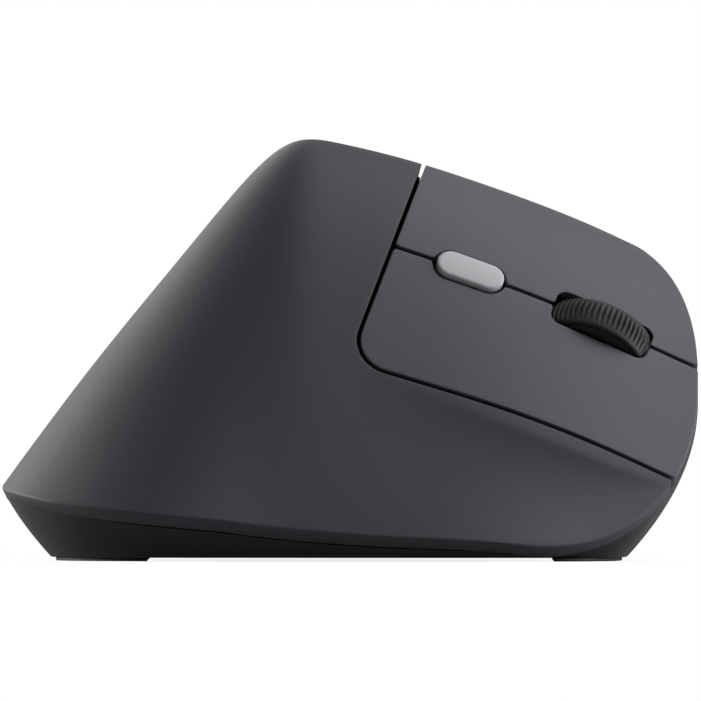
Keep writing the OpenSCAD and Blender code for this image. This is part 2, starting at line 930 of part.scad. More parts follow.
cradle_y = [-wheel_r - 5.4, 8.5];
cradle_top = wheel_z + 2.6;
module wheel_cradle() {
    cheek = [-4, 4];
    cheek_low = wheel_z - 3.6;
    color(frame_grey)
        difference() {
            on_face()
                difference() {
                    union() {
                        block([-cradle_out, cradle_out], cradle_y, [tact_top + seat_gap, cradle_top]);
                        block([-cradle_out, cradle_out], cheek, [cheek_low, cradle_top]);
                    }
                    block([-cradle_in, cradle_in], [-wheel_r - wheel_gap, far], [-far, far]);
                }
            on_axle()
                translate([0, 0, -far])
                    cylinder(d = axle_d + 2 * run_gap, h = 2 * far);
        }
}
module wheel_encoder() {
    encoder_high = [wheel_z - 4.3, wheel_z + 3.5];
    color(chip_black)
        difference() {
            on_face()
                block(encoder_x, encoder_y, encoder_high);
            on_axle()
                cylinder(d = axle_d + 2 * run_gap, h = far);
        }
}
wheel_switch_y = -wheel_r - 3.4;
module wheel_switch() {
    color(chip_black)
        on_face()
            translate([0, wheel_switch_y, board_top])
                tact_body(6);
}
module wheel_switch_plunger() {
    color("firebrick")
        on_face()
            translate([0, wheel_switch_y, board_top])
                tact_plunger();
}

module speed_button() {
    bevel = 0.45;
    cap_depth = 3.4;
    color(speed_grey) {
        intersection() {
            on_face()
                translate([0, -speed_back, 0])
                    pill(speed_len, speed_wid, [-below, above]);
            skin(bevel - speed_rise, cap_depth, speed_window);
        }
        intersection() {
            on_face()
                translate([0, -speed_back, 0])
                    pill(speed_len - 2 * bevel, speed_wid - 2 * bevel, [-below, above]);
            skin(-speed_rise, cap_depth, speed_window);
        }
        on_face()
            translate([0, -speed_back, 0]) {
                block([-speed_block.x, speed_block.x], [-speed_block.y, speed_block.y], [-8, -cap_depth + 1]);
                translate([0, 0, tact_top + seat_gap])
                    cylinder(d = 3, h = -8 - tact_top);
            }
    }
}
speed_tact = 4.5;
module speed_switch() {
    color(chip_black)
        on_face()
            translate([0, -speed_back, board_top])
                tact_body(speed_tact);
}
module speed_switch_plunger() {
    color("firebrick")
        on_face()
            translate([0, -speed_back, board_top])
                tact_plunger();
}

// Thumb buttons, with their board behind them
side_top = -8;
side_tact_top = side_top + tact_h + tact_rise;
side_board_x = [-7.4, 4.5];
side_board_y = [-13.5, 11.8];
post_x = -5.8;
post_d = 3.2;
module side_posts() {
    intersection() {
        on_thumb()
            for (side = thumb_sides)
                translate([post_x, side * thumb_step / 2, side_top + seat_gap])
                    cylinder(d = post_d, h = far);
        under(wall / 2, thumb_window);
    }
}
module thumb_button(side) {
    flange = 0.9;
    flange_t = 0.9;
    flange_gap = 0.3;
    color(key_grey) {
        intersection() {
            at_thumb_button(side)
                pill(thumb_len, thumb_wid, [-thumb_depth, thumb_depth]);
            skin(-thumb_rise, wall + flange_gap + flange_t, side_window);
        }
        intersection() {
            at_thumb_button(side)
                pill(thumb_len + 2 * flange, thumb_wid + 2 * flange, [-thumb_depth, thumb_depth]);
            skin(wall + flange_gap, wall + flange_gap + flange_t, side_window);
        }
        at_thumb_button(side)
            translate([0, 0, side_tact_top + seat_gap])
                cylinder(d = 3, h = -side_tact_top - wall - flange_gap);
    }
}
module forward_button() { thumb_button(1); }
module back_button() { thumb_button(-1); }
module side_board() {
    color(board_green)
        on_thumb()
            block(side_board_x, side_board_y, [side_top - board_t, side_top]);
}
module side_switches() {
    color(chip_black)
        for (side = thumb_sides)
            at_thumb_button(side)
                translate([0, 0, side_top])
                    tact_body(speed_tact);
}
module side_plunger(side) {
    color("firebrick")
        at_thumb_button(side)
            translate([0, 0, side_top])
                tact_plunger();
}
module forward_plunger() { side_plunger(1); }
module back_plunger() { side_plunger(-1); }

// Main board on the base, with the sensor over its window
main_board_z = 7;
main_board_x = [-19, 17];
sensor_at = [2, (main_board_y[0] + main_board_y[1]) / 2];
board_posts = [[-12, main_board_y[0] + 2], [13, main_board_y[0] + 2.6], [14, main_board_y[1] - 2.4]];
board_pin_d = 1.8;
board_over = main_board_z + board_t;
radio_x = [-8, -3.6];
radio_h = 1;
socket_x = [9.5, 12.1];
socket_y = [sensor_at.y - 1, sensor_at.y + 5];
socket_h = 2;
sensor_hole_d = 4;
// Outline inside the base's wall at one height
module inside_base(z) {
    polygon(foot_outline(flare(z) - base_wall - tub_gap));
}
module main_board() {
    color(board_green)
        difference() {
            union() {
                translate([0, 0, main_board_z])
                    linear_extrude(board_t)
                        intersection() {
                            translate([main_board_x[0], main_board_y[0]])
                                square([main_board_x[1] - main_board_x[0], main_board_len]);
                            inside_base(main_board_z);
                        }
                block(radio_x, [sensor_at.y - 3, sensor_at.y + 3], [main_board_z, board_over + radio_h]);
                block(socket_x, socket_y, [main_board_z, board_over + socket_h]);
            }
            translate([sensor_at.x, sensor_at.y, 0])
                cylinder(d = sensor_hole_d, h = 2 * main_board_z);
            for (p = board_posts)
                translate([p.x, p.y, 0])
                    cylinder(d = board_pin_d + 2 * slide_gap, h = 2 * main_board_z);
        }
}
sensor_size = [9.2, 10.4, 2.4];
module sensor_chip() {
    color(chip_black)
        translate([sensor_at.x, sensor_at.y, board_over])
            block(
                [-sensor_size.x / 2, sensor_size.x / 2],
                [-sensor_size.y / 2, sensor_size.y / 2],
                [0, sensor_size.z]
            );
}
lens_d = 5;
lens_size = [11, 11.2];
lens_z = base_z + 0.8;
module sensor_lens() {
    color(clear_blue) {
        translate([0, 0, floor_z + seat_gap])
            linear_extrude(main_board_z - floor_z - 2 * seat_gap)
                intersection() {
                    translate(sensor_at)
                        square(lens_size, center = true);
                    inside_base(floor_z);
                }
        translate([sensor_at.x, sensor_at.y, lens_z])
            cylinder(d = lens_d, h = floor_t);
    }
}

// Flat ribbon from the key board's connector to the main board's
ribbon_t = 0.4;
ribbon_w = 5;
ribbon_edge = 0.5;
ribbon_lead = [6, 0, 2];
ribbon_bow = [11.2, 0.5, 9];
ribbon_steps = 10;
function curve(p, t) =
    pow(1 - t, 3) * p[0] + 3 * t * pow(1 - t, 2) * p[1] + 3 * t * t * (1 - t) * p[2] + pow(t, 3) * p[3];
module board_ribbon() {
    plug_mid = (plug_x[0] + plug_x[1]) / 2;
    socket_mid = (socket_x[0] + socket_x[1]) / 2;
    top = [plug_mid, plug_y[0] + ribbon_edge, board_top + plug_h + seat_gap];
    foot = [socket_mid, socket_y[0] + ribbon_edge, board_over + socket_h + seat_gap + ribbon_t];
    face_out = face_point([0, 0, 1]) - face_at;
    near_edge = [
        face_point(top), face_point(top) + ribbon_lead,
        foot + ribbon_bow, foot
    ];
    far_edge = [
        face_point(top + [0, ribbon_w, 0]), face_point(top + [0, ribbon_w, 0]) + ribbon_lead,
        foot + [0, ribbon_w, 0] + ribbon_bow, foot + [0, ribbon_w, 0]
    ];
    points = [
        for (k = [0 : ribbon_steps])
            let (
                a = curve(near_edge, k / ribbon_steps),
                b = curve(far_edge, k / ribbon_steps),
                lift = curve([face_out, [1, 0, 0.2], [1, 0, -0.2], [0, 0, -1]], k / ribbon_steps),
                up = ribbon_t * lift / norm(lift)
            )
            each [a, b, b + up, a + up]
    ];
    sides = [
        for (k = [0 : ribbon_steps - 1]) for (j = [0 : 3])
            let (
                i = 4 * k + j,
                n = 4 * k + (j + 1) % 4
            )
            each [[i, i + 4, n + 4], [i, n + 4, n]]
    ];
    end = 4 * ribbon_steps;
    color("gainsboro")
        polyhedron(points, concat(
            sides,
            [[0, 1, 2], [0, 2, 3], [end + 2, end + 1, end], [end + 3, end + 2, end]]
        ));
}

module cell() {
    tip_d = 5.2;
    tip = 1.2;
    color("darkgoldenrod")
        translate([cell_x, cell_y[0], cell_z])
            rotate([-90, 0, 0]) {
                cylinder(d = cell_d, h = cell_len - tip);
                cylinder(d = tip_d, h = cell_len);
            }
}
contact_w = 9;
module cell_contact_front() {
    color(steel)
        block(
            [cell_x - contact_w / 2, cell_x + contact_w / 2],
            [cell_y[1] + seat_gap, cell_y[1] + seat_gap + contact_t],
            [floor_z + 0.3, cell_z + contact_w / 2]
        );
}
module cell_contact_rear() {
    back = bay_y[0] + seat_gap;
    front = cell_y[0] - seat_gap;
    low = floor_z + 0.3;
    high = cell_z + contact_w / 2;
    color(steel)
        translate([cell_x - contact_w / 2, 0, 0])
            rotate([90, 0, 90])
                linear_extrude(contact_w)
                    polygon([
                        [back, low], [back + contact_t, low], [back + contact_t, high - contact_t],
                        [front - contact_t, cell_z + 1], [front - contact_t, cell_z - 1],
                        [back + 2 * contact_t, cell_z - 4], [back + 3 * contact_t, cell_z - 4],
                        [front, cell_z - 1.2], [front, cell_z + 1.2],
                        [back + 2.4 * contact_t, high], [back, high]
                    ]);
}

// Door of the cell bay, turning on two trunnions at its front end
door_gap = 0.2;
hinge_at = [bay_y[1] - door_gap - floor_t / 2, base_z + floor_t / 2];
trunnion_d = 1.2;
trunnion_len = 1.4;
door_grooves = 4;
door_groove_step = 2.2;
door_groove = [8, 1, 0.5];
module door_opening() {
    block(bay_x, bay_y, [0, floor_z + bay_gap]);
    translate([bay_x[0] - door_gap - trunnion_len, hinge_at.x, hinge_at.y])
        rotate([0, 90, 0])
            cylinder(d = trunnion_d + 2 * run_gap, h = bay_x[1] - bay_x[0] + 2 * (door_gap + trunnion_len));
}
module cell_door() {
    x = [bay_x[0] + door_gap, bay_x[1] - door_gap];
    color(base_grey)
        difference() {
            union() {
                block(x, [bay_y[0] + door_gap, hinge_at.x], [base_z, floor_z]);
                translate([x[0], hinge_at.x, hinge_at.y])
                    rotate([0, 90, 0])
                        cylinder(d = floor_t, h = x[1] - x[0]);
                translate([x[0] - trunnion_len, hinge_at.x, hinge_at.y])
                    rotate([0, 90, 0])
                        cylinder(d = trunnion_d, h = x[1] - x[0] + 2 * trunnion_len);
            }
            for (k = [1 : door_grooves])
                translate([cell_x, bay_y[0] + k * door_groove_step, 0])
                    block(
                        [-door_groove.x / 2, door_groove.x / 2],
                        [0, door_groove.y],
                        [0, base_z + door_groove.z]
                    );
        }
}

// Power switch: a knob in a slot of the floor
power_at = [20, 2];
knob = [2.2, 2.2];
power_size = [6, 9.2, 4];
power_dish = [5.6, 8.8, 0.5];
knob_sunk = 1.4;
knob_groove = [0.24, 0.25];
knob_groove_step = 0.6;
module power_knob_room(gap, z) {
    block(
        [power_at.x - knob.x / 2 - gap, power_at.x + knob.x / 2 + gap],
        [power_at.y - power_travel / 2 - knob.y / 2 - gap, power_at.y + power_travel / 2 + knob.y / 2 + gap],
        z
    );
}
module power_switch() {
    color(steel)
        difference() {
            block(
                [power_at.x - power_size.x / 2, power_at.x + power_size.x / 2],
                [power_at.y - power_size.y / 2, power_at.y + power_size.y / 2],
                [floor_z + seat_gap, floor_z + power_size.z]
            );
            power_knob_room(slide_gap, [0, floor_z + knob_sunk + 0.2]);
        }
}
module power_knob() {
    rest = power_at.y - power_travel / 2;
    color(rubber_black)
        difference() {
            block(
                [power_at.x - knob.x / 2, power_at.x + knob.x / 2],
                [rest - knob.y / 2, rest + knob.y / 2],
                [base_z + 0.3, floor_z + knob_sunk]
            );
            for (k = [-1 : 1])
                block(
                    [power_at.x - knob.x, power_at.x + knob.x],
                    [-knob_groove[0] / 2, knob_groove[0] / 2] + (rest + k * knob_groove_step) * [1, 1],
                    [0, base_z + 0.3 + knob_groove[1]]
                );
        }
}

// Receiver stored upright in a pocket of the base
receiver_at = [17, -14];
receiver = [6, 14.4, 6.5];
receiver_plug = [4.5, 12];
plug_skin = [0.25, 0.4];
plug_tongue = 1.65;
plug_deep = 10;
grip = [0.4, 8, 1.4];
receiver_z = base_z + 0.4;
pocket_gap = 0.3;
pocket_t = 1.2;
module receiver_box(grow, z) {
    block(
        [receiver_at.x - receiver.x / 2 - grow, receiver_at.x + receiver.x / 2 + grow],
        [receiver_at.y - receiver.y / 2 - grow, receiver_at.y + receiver.y / 2 + grow],
        z
    );
}
module usb_receiver() {
    color(steel)
        difference() {
            union() {
                receiver_box(0, [receiver_z, receiver_z + receiver.z]);
                translate([receiver_at.x, receiver_at.y, 0])
                    block(
                        [-receiver_plug.x / 2, receiver_plug.x / 2],
                        [-receiver_plug.y / 2, receiver_plug.y / 2],
                        [receiver_z, receiver_z + receiver_len]
                    );
            }
            translate([receiver_at.x, receiver_at.y, 0])
                block(
                    [plug_tongue + plug_skin[0] - receiver_plug.x / 2, receiver_plug.x / 2 - plug_skin[0]],
                    [plug_skin[1] - receiver_plug.y / 2, receiver_plug.y / 2 - plug_skin[1]],
                    [receiver_z + receiver_len - plug_deep, receiver_z + receiver_len + 1]
                );
            for (side = [-1, 1])
                translate([receiver_at.x + side * receiver.x / 2, receiver_at.y, receiver_z + 1])
                    block([-grip.x, grip.x], [-grip.y / 2, grip.y / 2], [0, grip.z]);
        }
}

// Pads under the heel and the nose, each from one distance off the middle
pad_from = 34.6;
module glide_pads() {
    color("black")
        intersection() {
            difference() {
                linear_extrude(pad_t)
                    polygon(foot_outline(-pad_inset));
                translate([0, 0, -1])
                    intersection() {
                        linear_extrude(pad_t + 2)
                            polygon(foot_outline(-pad_inset - pad_band));
                        block([-far, far], [-2 * far, 0], [0, far]);
                    }
            }
            for (y = [[-2 * far, -pad_from * stretch.y], [pad_from * stretch.y, 2 * far]])
                block([-far, far], y, [-1, 2]);
        }
}

module case_screws() {
    color(steel)
        for (p = screw_places)
            translate([p.x * stretch.x, p.y * stretch.y, screw_seat])
                difference() {
                    union() {
                        translate([0, 0, -screw_head_h])
                            cylinder(d = screw_head_d, h = screw_head_h);
                        cylinder(d = screw_d, h = screw_len);
                    }
                    mirror([0, 0, 1])
                        cross_slot(screw_head_h);
                }
}

rim_gap = 0.15;
boss_wall = 2.8;
boss_foot = floor_z - floor_t / 2;
foot_boss_d = 5;
board_post_d = 4;
module base_case() {
    color(base_grey)
        difference() {
            union() {
                difference() {
                    intersection() {
                        tub(0, base_z);
                        under(wall + rim_gap, whole);
                    }
                    tub(base_wall, floor_z);
                    difference() {
                        on_face()
                            block([-far, key_drop + seam], [-key_back, far], [-key_skirt - skirt_gap, above]);
                        under(wall + key_room, front_window);
                    }
                }
                difference() {
                    block(
                        [bay_x[0] - bay_t, bay_x[1] + bay_t],
                        [bay_y[0] - bay_t, bay_y[1] + bay_t],
                        [base_z, bay_high]
                    );
                    block(bay_x, bay_y, [0, 2 * bay_high]);
                }
                receiver_box(pocket_gap + pocket_t, [base_z, receiver_z + receiver_len + 2]);
                for (p = screw_places)
                    translate([p.x * stretch.x, p.y * stretch.y, boss_foot])
                        cylinder(d = screw_head_d + boss_wall, h = boss_joint - boss_foot);
                for (p = frame_feet)
                    translate([p.x, p.y, boss_foot])
                        cylinder(d = foot_boss_d, h = foot_z - boss_foot);
                for (p = board_posts)
                    translate([p.x, p.y, boss_foot]) {
                        cylinder(d = board_post_d, h = main_board_z - seat_gap - boss_foot);
                        cylinder(d = board_pin_d, h = main_board_z + board_t - boss_foot);
                    }
            }
            door_opening();
            receiver_box(pocket_gap, [0, receiver_z + receiver_len + 0.6]);
            screw_bores(screw_d + 2 * slide_gap, 0, 2 * boss_joint);
            screw_bores(screw_head_d + 2 * slide_gap, 0, screw_seat);
            for (p = frame_feet)
                translate([p.x, p.y, floor_z])
                    cylinder(d = frame_screw_d, h = far);
            power_knob_room(slide_gap, [0, floor_z + 1]);
            block(
                [power_at.x - power_dish.x / 2, power_at.x + power_dish.x / 2],
                [power_at.y - power_dish.y / 2, power_at.y + power_dish.y / 2],
                [0, base_z + power_dish.z]
            );
            translate([sensor_at.x, sensor_at.y, 0]) {
                cylinder(d = lens_d + 2 * slide_gap, h = floor_z + 1);
                translate([0, -lens_d / 2, 0])
                    block([-lens_d, lens_d], [0, lens_d], [0, base_z + 0.7]);
            }
        }
}

main_shell();
thumb_cover();
left_key_cover();
right_key_cover();
base_case();
left_key_lever();
right_key_lever();
key_pivot_pin();
inner_frame();
key_board();
left_switch();
left_switch_plunger();
right_switch();
right_switch_plunger();
wheel_hub();
wheel_tyre();
wheel_cradle();
wheel_encoder();
wheel_switch();
wheel_switch_plunger();
speed_button();
speed_switch();
speed_switch_plunger();
forward_button();
back_button();
side_board();
side_switches();
forward_plunger();
back_plunger();
main_board();
sensor_chip();
sensor_lens();
board_ribbon();
cell();
cell_contact_front();
cell_contact_rear();
cell_door();
power_switch();
power_knob();
usb_receiver();
glide_pads();
case_screws();
frame_screws();
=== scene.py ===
import json
import math
import bpy
import numpy as np
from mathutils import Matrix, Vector


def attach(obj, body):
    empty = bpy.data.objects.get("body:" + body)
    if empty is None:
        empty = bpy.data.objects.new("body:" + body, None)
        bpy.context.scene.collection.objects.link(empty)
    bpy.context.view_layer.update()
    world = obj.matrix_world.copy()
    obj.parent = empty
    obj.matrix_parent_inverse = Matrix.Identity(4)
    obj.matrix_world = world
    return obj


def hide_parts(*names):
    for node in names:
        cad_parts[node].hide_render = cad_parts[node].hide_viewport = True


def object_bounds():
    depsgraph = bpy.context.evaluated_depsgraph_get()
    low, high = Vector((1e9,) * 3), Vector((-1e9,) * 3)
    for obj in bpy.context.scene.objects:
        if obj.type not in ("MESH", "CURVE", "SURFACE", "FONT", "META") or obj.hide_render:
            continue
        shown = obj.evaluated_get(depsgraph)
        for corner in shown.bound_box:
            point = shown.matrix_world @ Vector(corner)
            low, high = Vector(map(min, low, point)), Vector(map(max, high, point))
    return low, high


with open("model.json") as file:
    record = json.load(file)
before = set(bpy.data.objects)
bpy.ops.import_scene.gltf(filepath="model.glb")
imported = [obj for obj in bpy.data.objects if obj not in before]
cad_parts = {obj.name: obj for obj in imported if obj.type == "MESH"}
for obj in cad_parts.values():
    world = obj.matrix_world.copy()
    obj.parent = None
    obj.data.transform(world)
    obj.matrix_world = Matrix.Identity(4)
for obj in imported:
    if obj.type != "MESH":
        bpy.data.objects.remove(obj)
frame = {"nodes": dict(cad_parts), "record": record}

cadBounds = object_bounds()
mm = 0.001
cadBox = np.array([list(c) for c in cadBounds]) / mm
bpy.context.scene.view_settings.view_transform = "Standard"
bpy.ops.object.select_all(action="DESELECT")
print("frame loaded:", len(frame["nodes"]), "nodes")


# Hand shape in millimetres: a smooth sheet over stations from the rear to the nose.
# A station holds its place along Y, ridge height, ridge place, finger and thumb side widths, and hollow
handShape = {
    "fingerHalf": [(1.22, -0.24), (1.0, 0.05), (0.81, 0.30), (0.61, 0.55), (0.40, 0.79), (0.18, 0.965),
                   (0, 1.03)],
    "thumbHalf": [(-0.20, 0.97), (-0.40, 0.76), (-0.36, 0.46), (-0.62, 0.20), (-1.0, 0.11), (-1.45, 0.05)],
    "stations": [
        (-80, -15, 0.7, 40, 40, 0), (-62, 9.5, 0.7, 28.2, 38, 0), (-45, 32.7, -2.3, 40.4, 36, 0.25),
        (-29, 51.6, -5.3, 46.1, 32, 0.75), (-17, 66.4, -8.3, 46.7, 29, 1), (-9.5, 72.5, -9.3, 47, 28, 1),
        (-2, 71, -9.8, 47.2, 27, 1), (10, 68.3, -10.3, 47.6, 26, 1), (26, 63, -11.3, 49.2, 24.5, 1),
        (43, 56.7, -12.3, 47, 23, 1), (60, 47.8, -13.3, 41.3, 22, 1), (78, 45.5, -14.3, 35.4, 22, 1),
    ],
    "ridgeSpan": 5,
    "wall": 2.0,
}
# Scoop under the lower key, from a crease down to the flare's edge
scoop = {"depth": 0.35, "creaseZ": 33.6, "creaseFall": 0.384, "edgeZ": 3.2, "edgeRise": 0.037, "edgeY": 38,
         "fromY": -6, "fullY": 42}


def splineWeights(t):
    weights = [(1 - t) ** 3, 3 * t ** 3 - 6 * t * t + 4, 1 + 3 * t + 3 * t * t - 3 * t ** 3, t ** 3]
    return np.stack(weights, -1) / 6


def controlNet():
    finger = np.array(handShape["fingerHalf"])
    thumb = np.array(handShape["thumbHalf"])
    heel = finger[-2::-1] * (-1, 1)
    rows = []
    for y, ridgeZ, ridgeX, fingerWide, thumbWide, hollow in handShape["stations"]:
        half = np.concatenate([finger, hollow * thumb + (1 - hollow) * heel])
        wide = np.where(half[:, 0] > 0, fingerWide, thumbWide)
        places = (ridgeX + half[:, 0] * wide, np.full(len(half), y), half[:, 1] * ridgeZ)
        rows.append(np.stack(places, -1))
    return np.array(rows)


net = controlNet()
spans = (net.shape[0] - 3, net.shape[1] - 3)


def smooth(t):
    t = np.clip(t, 0, 1)
    return t * t * (3 - 2 * t)


def handPoint(params):
    u = np.clip(params[:, 0], 0, spans[0])
    v = np.clip(params[:, 1], 0, spans[1])
    i = np.minimum(u.astype(int), spans[0] - 1)
    j = np.minimum(v.astype(int), spans[1] - 1)
    along, across = splineWeights(u - i), splineWeights(v - j)
    points = np.zeros((len(u), 3))
    for p in range(4):
        for q in range(4):
            points += (along[:, p] * across[:, q])[:, None] * net[i + p, j + q]
    high = scoop["creaseZ"] - scoop["creaseFall"] * points[:, 1]
    low = scoop["edgeZ"] + scoop["edgeRise"] * np.maximum(0, points[:, 1] - scoop["edgeY"]) ** 2
    s = (high - points[:, 2]) / (high - low)
    fade = smooth((points[:, 1] - scoop["fromY"]) / (scoop["fullY"] - scoop["fromY"]))
    depth = scoop["depth"] * fade * (high - low) * np.maximum(0, s * (1 - s))
    points[:, 0] -= np.where(v <= handShape["ridgeSpan"], depth, 0)
    return points


def surfaceNormal(place, params, eps=1e-3):
    along = place(params + (eps, 0)) - place(params - (eps, 0))
    across = place(params + (0, eps)) - place(params - (0, eps))
    n = np.cross(along, across)
    return n / np.linalg.norm(n, axis=1)[:, None]


# Frames that stand on the sheet: X and Y along the surface, Z outwards
def standFrame(at, pitch, lean):
    p, l = math.radians(-pitch), math.radians(lean)
    tip = np.array([[1, 0, 0], [0, math.cos(p), -math.sin(p)], [0, math.sin(p), math.cos(p)]])
    roll = np.array([[math.cos(l), 0, math.sin(l)], [0, 1, 0], [-math.sin(l), 0, math.cos(l)]])
    return {"at": handPoint(np.array([at]))[0], "turn": tip @ roll}


faceFrame = standFrame((8.008, 2.725), 21, 50)
thumbFrame = standFrame((6.259, 7.194), 21, -86)


def inFrame(points, stand):
    return (points - stand["at"]) @ stand["turn"]


# Seams between the moulded pieces, in the frames above
seams = {"gap": 0.7, "keyBack": 38, "keyDrop": 24, "keyCorner": 6, "keySkirt": 13, "skirtGap": 1.2,
         "thumbTop": 20, "thumbLow": 20, "thumbBack": 24, "thumbCorner": 10, "keyRoom": 1.3}
wheelSlot = {"wide": 7.4, "long": 17.8, "corner": 2.0, "lean": 0.9}
speedHole = {"wide": 6.3, "long": 13.1, "back": 24.4}
thumbHoles = {"wide": 6.7, "long": 14.7, "step": 18}


def both(*distances):
    return np.minimum.reduce(distances)


def roundBoth(a, b, r):
    return r - np.hypot(np.maximum(r - a, 0), np.maximum(r - b, 0))


def leftKeyRoom(p):
    q = inFrame(p, faceFrame)
    return both(-seams["gap"] / 2 - q[:, 0], q[:, 1] + seams["keyBack"], q[:, 2] + seams["keySkirt"])


def rightKeyRoom(p):
    q = inFrame(p, faceFrame)
    corner = roundBoth(seams["keyDrop"] - q[:, 0], q[:, 1] + seams["keyBack"], seams["keyCorner"])
    return both(corner, q[:, 0] - seams["gap"] / 2, q[:, 2] + 20)


def keyOpening(p):
    # opening of the shell for both keys
    q = inFrame(p, faceFrame)
    gap = seams["gap"]
    side, back = seams["keyDrop"] + gap - q[:, 0], q[:, 1] + seams["keyBack"] + gap
    corner = roundBoth(side, back, seams["keyCorner"] + gap)
    return both(corner, q[:, 2] + seams["keySkirt"] + seams["skirtGap"])


def thumbRoom(p, gap=0.0):
    q = inFrame(p, thumbFrame)
    r = seams["thumbCorner"] + gap
    side = roundBoth(q[:, 0] + seams["thumbLow"] + gap, q[:, 1] + seams["thumbBack"] + gap, r)
    skirt = -seams["keySkirt"] - seams["skirtGap"] + gap - inFrame(p, faceFrame)[:, 2]
    near = np.where(q[:, 2] > -12, 1.0, -5.0)  # the far side of the hand shape is no part of it
    return both(side, seams["thumbTop"] + gap - q[:, 0], skirt, near)


def pillOutside(q, back, size):
    straight = (size["long"] - size["wide"]) / 2
    y = q[:, 1] + back
    return np.hypot(q[:, 0], y - np.clip(y, -straight, straight)) - size["wide"] / 2


def slotOutside(q):
    ex = np.abs(q[:, 0]) - wheelSlot["wide"] / 2 + wheelSlot["corner"]
    ey = np.abs(q[:, 1]) - wheelSlot["long"] / 2 + wheelSlot["corner"]
    outside = np.hypot(np.maximum(ex, 0), np.maximum(ey, 0))
    return outside + np.minimum(np.maximum(ex, ey), 0) - wheelSlot["corner"]


def holesOutside(p):
    q = inFrame(p, faceFrame)
    return both(slotOutside(q), pillOutside(q, speedHole["back"], speedHole))


# Foot of the base: the outline round four circles, which flares outwards as it rises
foot = {"rounds": [(2.2, -21.6, 29.7), (-14.4, 3.5, 18), (19.3, 30.2, 16.1), (8.2, 35.5, 11.8)],
        "flareOut": 12.2, "flareHigh": 26.4, "baseZ": 0.6, "floorZ": 2.6, "wall": 2.0, "rimGap": 0.35}
footAngles = np.radians(np.arange(0, 360, 0.75))
footWays = np.stack([np.cos(footAngles), np.sin(footAngles)], -1)
footReach = np.max([footWays @ c[:2] + c[2] for c in foot["rounds"]], axis=0)


def flare(z):
    t = np.clip((z - foot["baseZ"]) / foot["flareHigh"], 0, 1)
    return foot["flareOut"] * (2 * t - t * t)


def flareSlope(z):
    t = np.clip((z - foot["baseZ"]) / foot["flareHigh"], 0, 1)
    return foot["flareOut"] * 2 * (1 - t) / foot["flareHigh"]


def footDepth(p):
    # how far inside the base's side, and which way is out
    depth, ways = np.empty(len(p)), np.empty((len(p), 2))
    for k in range(0, len(p), 4096):
        reach = p[k:k + 4096, :2] @ footWays.T - footReach
        best = reach.argmax(1)
        depth[k:k + 4096] = -reach[np.arange(len(best)), best]
        ways[k:k + 4096] = footWays[best]
    return depth + flare(p[:, 2]), ways


def inFoot(p):
    return footDepth(p)[0]


# Keep the part of a surface where depth(point) is positive, with its edge drawn clean
def trimSheet(place, depth, uLine, vLine, spacing):
    nu, nv = len(uLine), len(vLine)
    params = np.stack([a.ravel() for a in np.meshgrid(uLine, vLine, indexing="ij")], -1)
    drawn = params.copy()
    inside = depth(place(params))
    near = np.flatnonzero(np.abs(inside) < 0.34 * spacing)
    eps = 1e-4
    for turn in range(5):  # slide the points nearest the edge on to it
        p = params[near]
        at = place(p)
        d = depth(at)
        pu, pv = place(p + (eps, 0)), place(p + (0, eps))
        tu, tv = (pu - at) / eps, (pv - at) / eps
        du, dv = (depth(pu) - d) / eps, (depth(pv) - d) / eps
        uu, uv, vv = (tu * tu).sum(1), (tu * tv).sum(1), (tv * tv).sum(1)
        stepU, stepV = vv * du - uv * dv, uu * dv - uv * du
        scale = -d / np.maximum(stepU * du + stepV * dv, 1e-12)
        params[near] += np.stack([stepU, stepV], -1) * scale[:, None]
    moved = np.linalg.norm(place(params[near]) - place(drawn[near]), axis=1)
    inside = depth(place(params))
    lost = near[(np.abs(inside[near]) > 2e-3) | (moved > 0.5 * spacing)]
    params[lost] = drawn[lost]
    inside = depth(place(params))
    inside[np.setdiff1d(near, lost)] = 0

    index = np.arange(nu * nv).reshape(nu, nv)
    quads = np.stack([index[:-1, :-1], index[1:, :-1], index[1:, 1:], index[:-1, 1:]], -1).reshape(-1, 4)
    signs = np.sign(inside)[quads]
    whole = quads[(signs >= 0).all(1) & (signs > 0).any(1)]
    mixed = quads[(signs > 0).any(1) & (signs < 0).any(1)]
    pairs = np.concatenate([mixed[:, [k, (k + 1) % 4]] for k in range(4)])
    crossing = pairs[inside[pairs[:, 0]] * inside[pairs[:, 1]] < 0]
    crossing = np.unique(np.sort(crossing, 1), axis=0)
    inner = inside[crossing[:, 0]] > 0
    low = params[np.where(inner, crossing[:, 0], crossing[:, 1])]
    high = params[np.where(inner, crossing[:, 1], crossing[:, 0])]
    for turn in range(22):
        mid = (low + high) / 2
        keep = depth(place(mid)) >= 0
        low = np.where(keep[:, None], mid, low)
        high = np.where(keep[:, None], high, mid)
    cutAt = {tuple(pair): len(params) + k for k, pair in enumerate(crossing.tolist())}
    params = np.concatenate([params, low])

    faces = whole.tolist()
    for quad in mixed.tolist():
        ring = []
        for k in range(4):
            a, b = quad[k], quad[(k + 1) % 4]
            if inside[a] >= 0:
                ring.append(a)
            if inside[a] * inside[b] < 0:
                ring.append(cutAt[(min(a, b), max(a, b))])
        if len(ring) > 2:
            faces.append(ring)
    used = np.unique(np.concatenate([np.array(f) for f in faces]))
    renumber = np.full(len(params), -1)
    renumber[used] = np.arange(len(used))
    return params[used], [[int(renumber[k]) for k in f] for f in faces]


def weld(points, params, faces):
    # join what meets at the ends of a closed outline
    first, back = np.unique(np.round(points, 4), axis=0, return_index=True, return_inverse=True)[1:]
    back = back.ravel()
    joined = []
    for f in faces:
        ring = [int(back[k]) for k in f]
        ring = [a for k, a in enumerate(ring) if a != ring[k - 1]]
        if len(ring) > 2:
            joined.append(ring)
    return points[first], params[first], joined


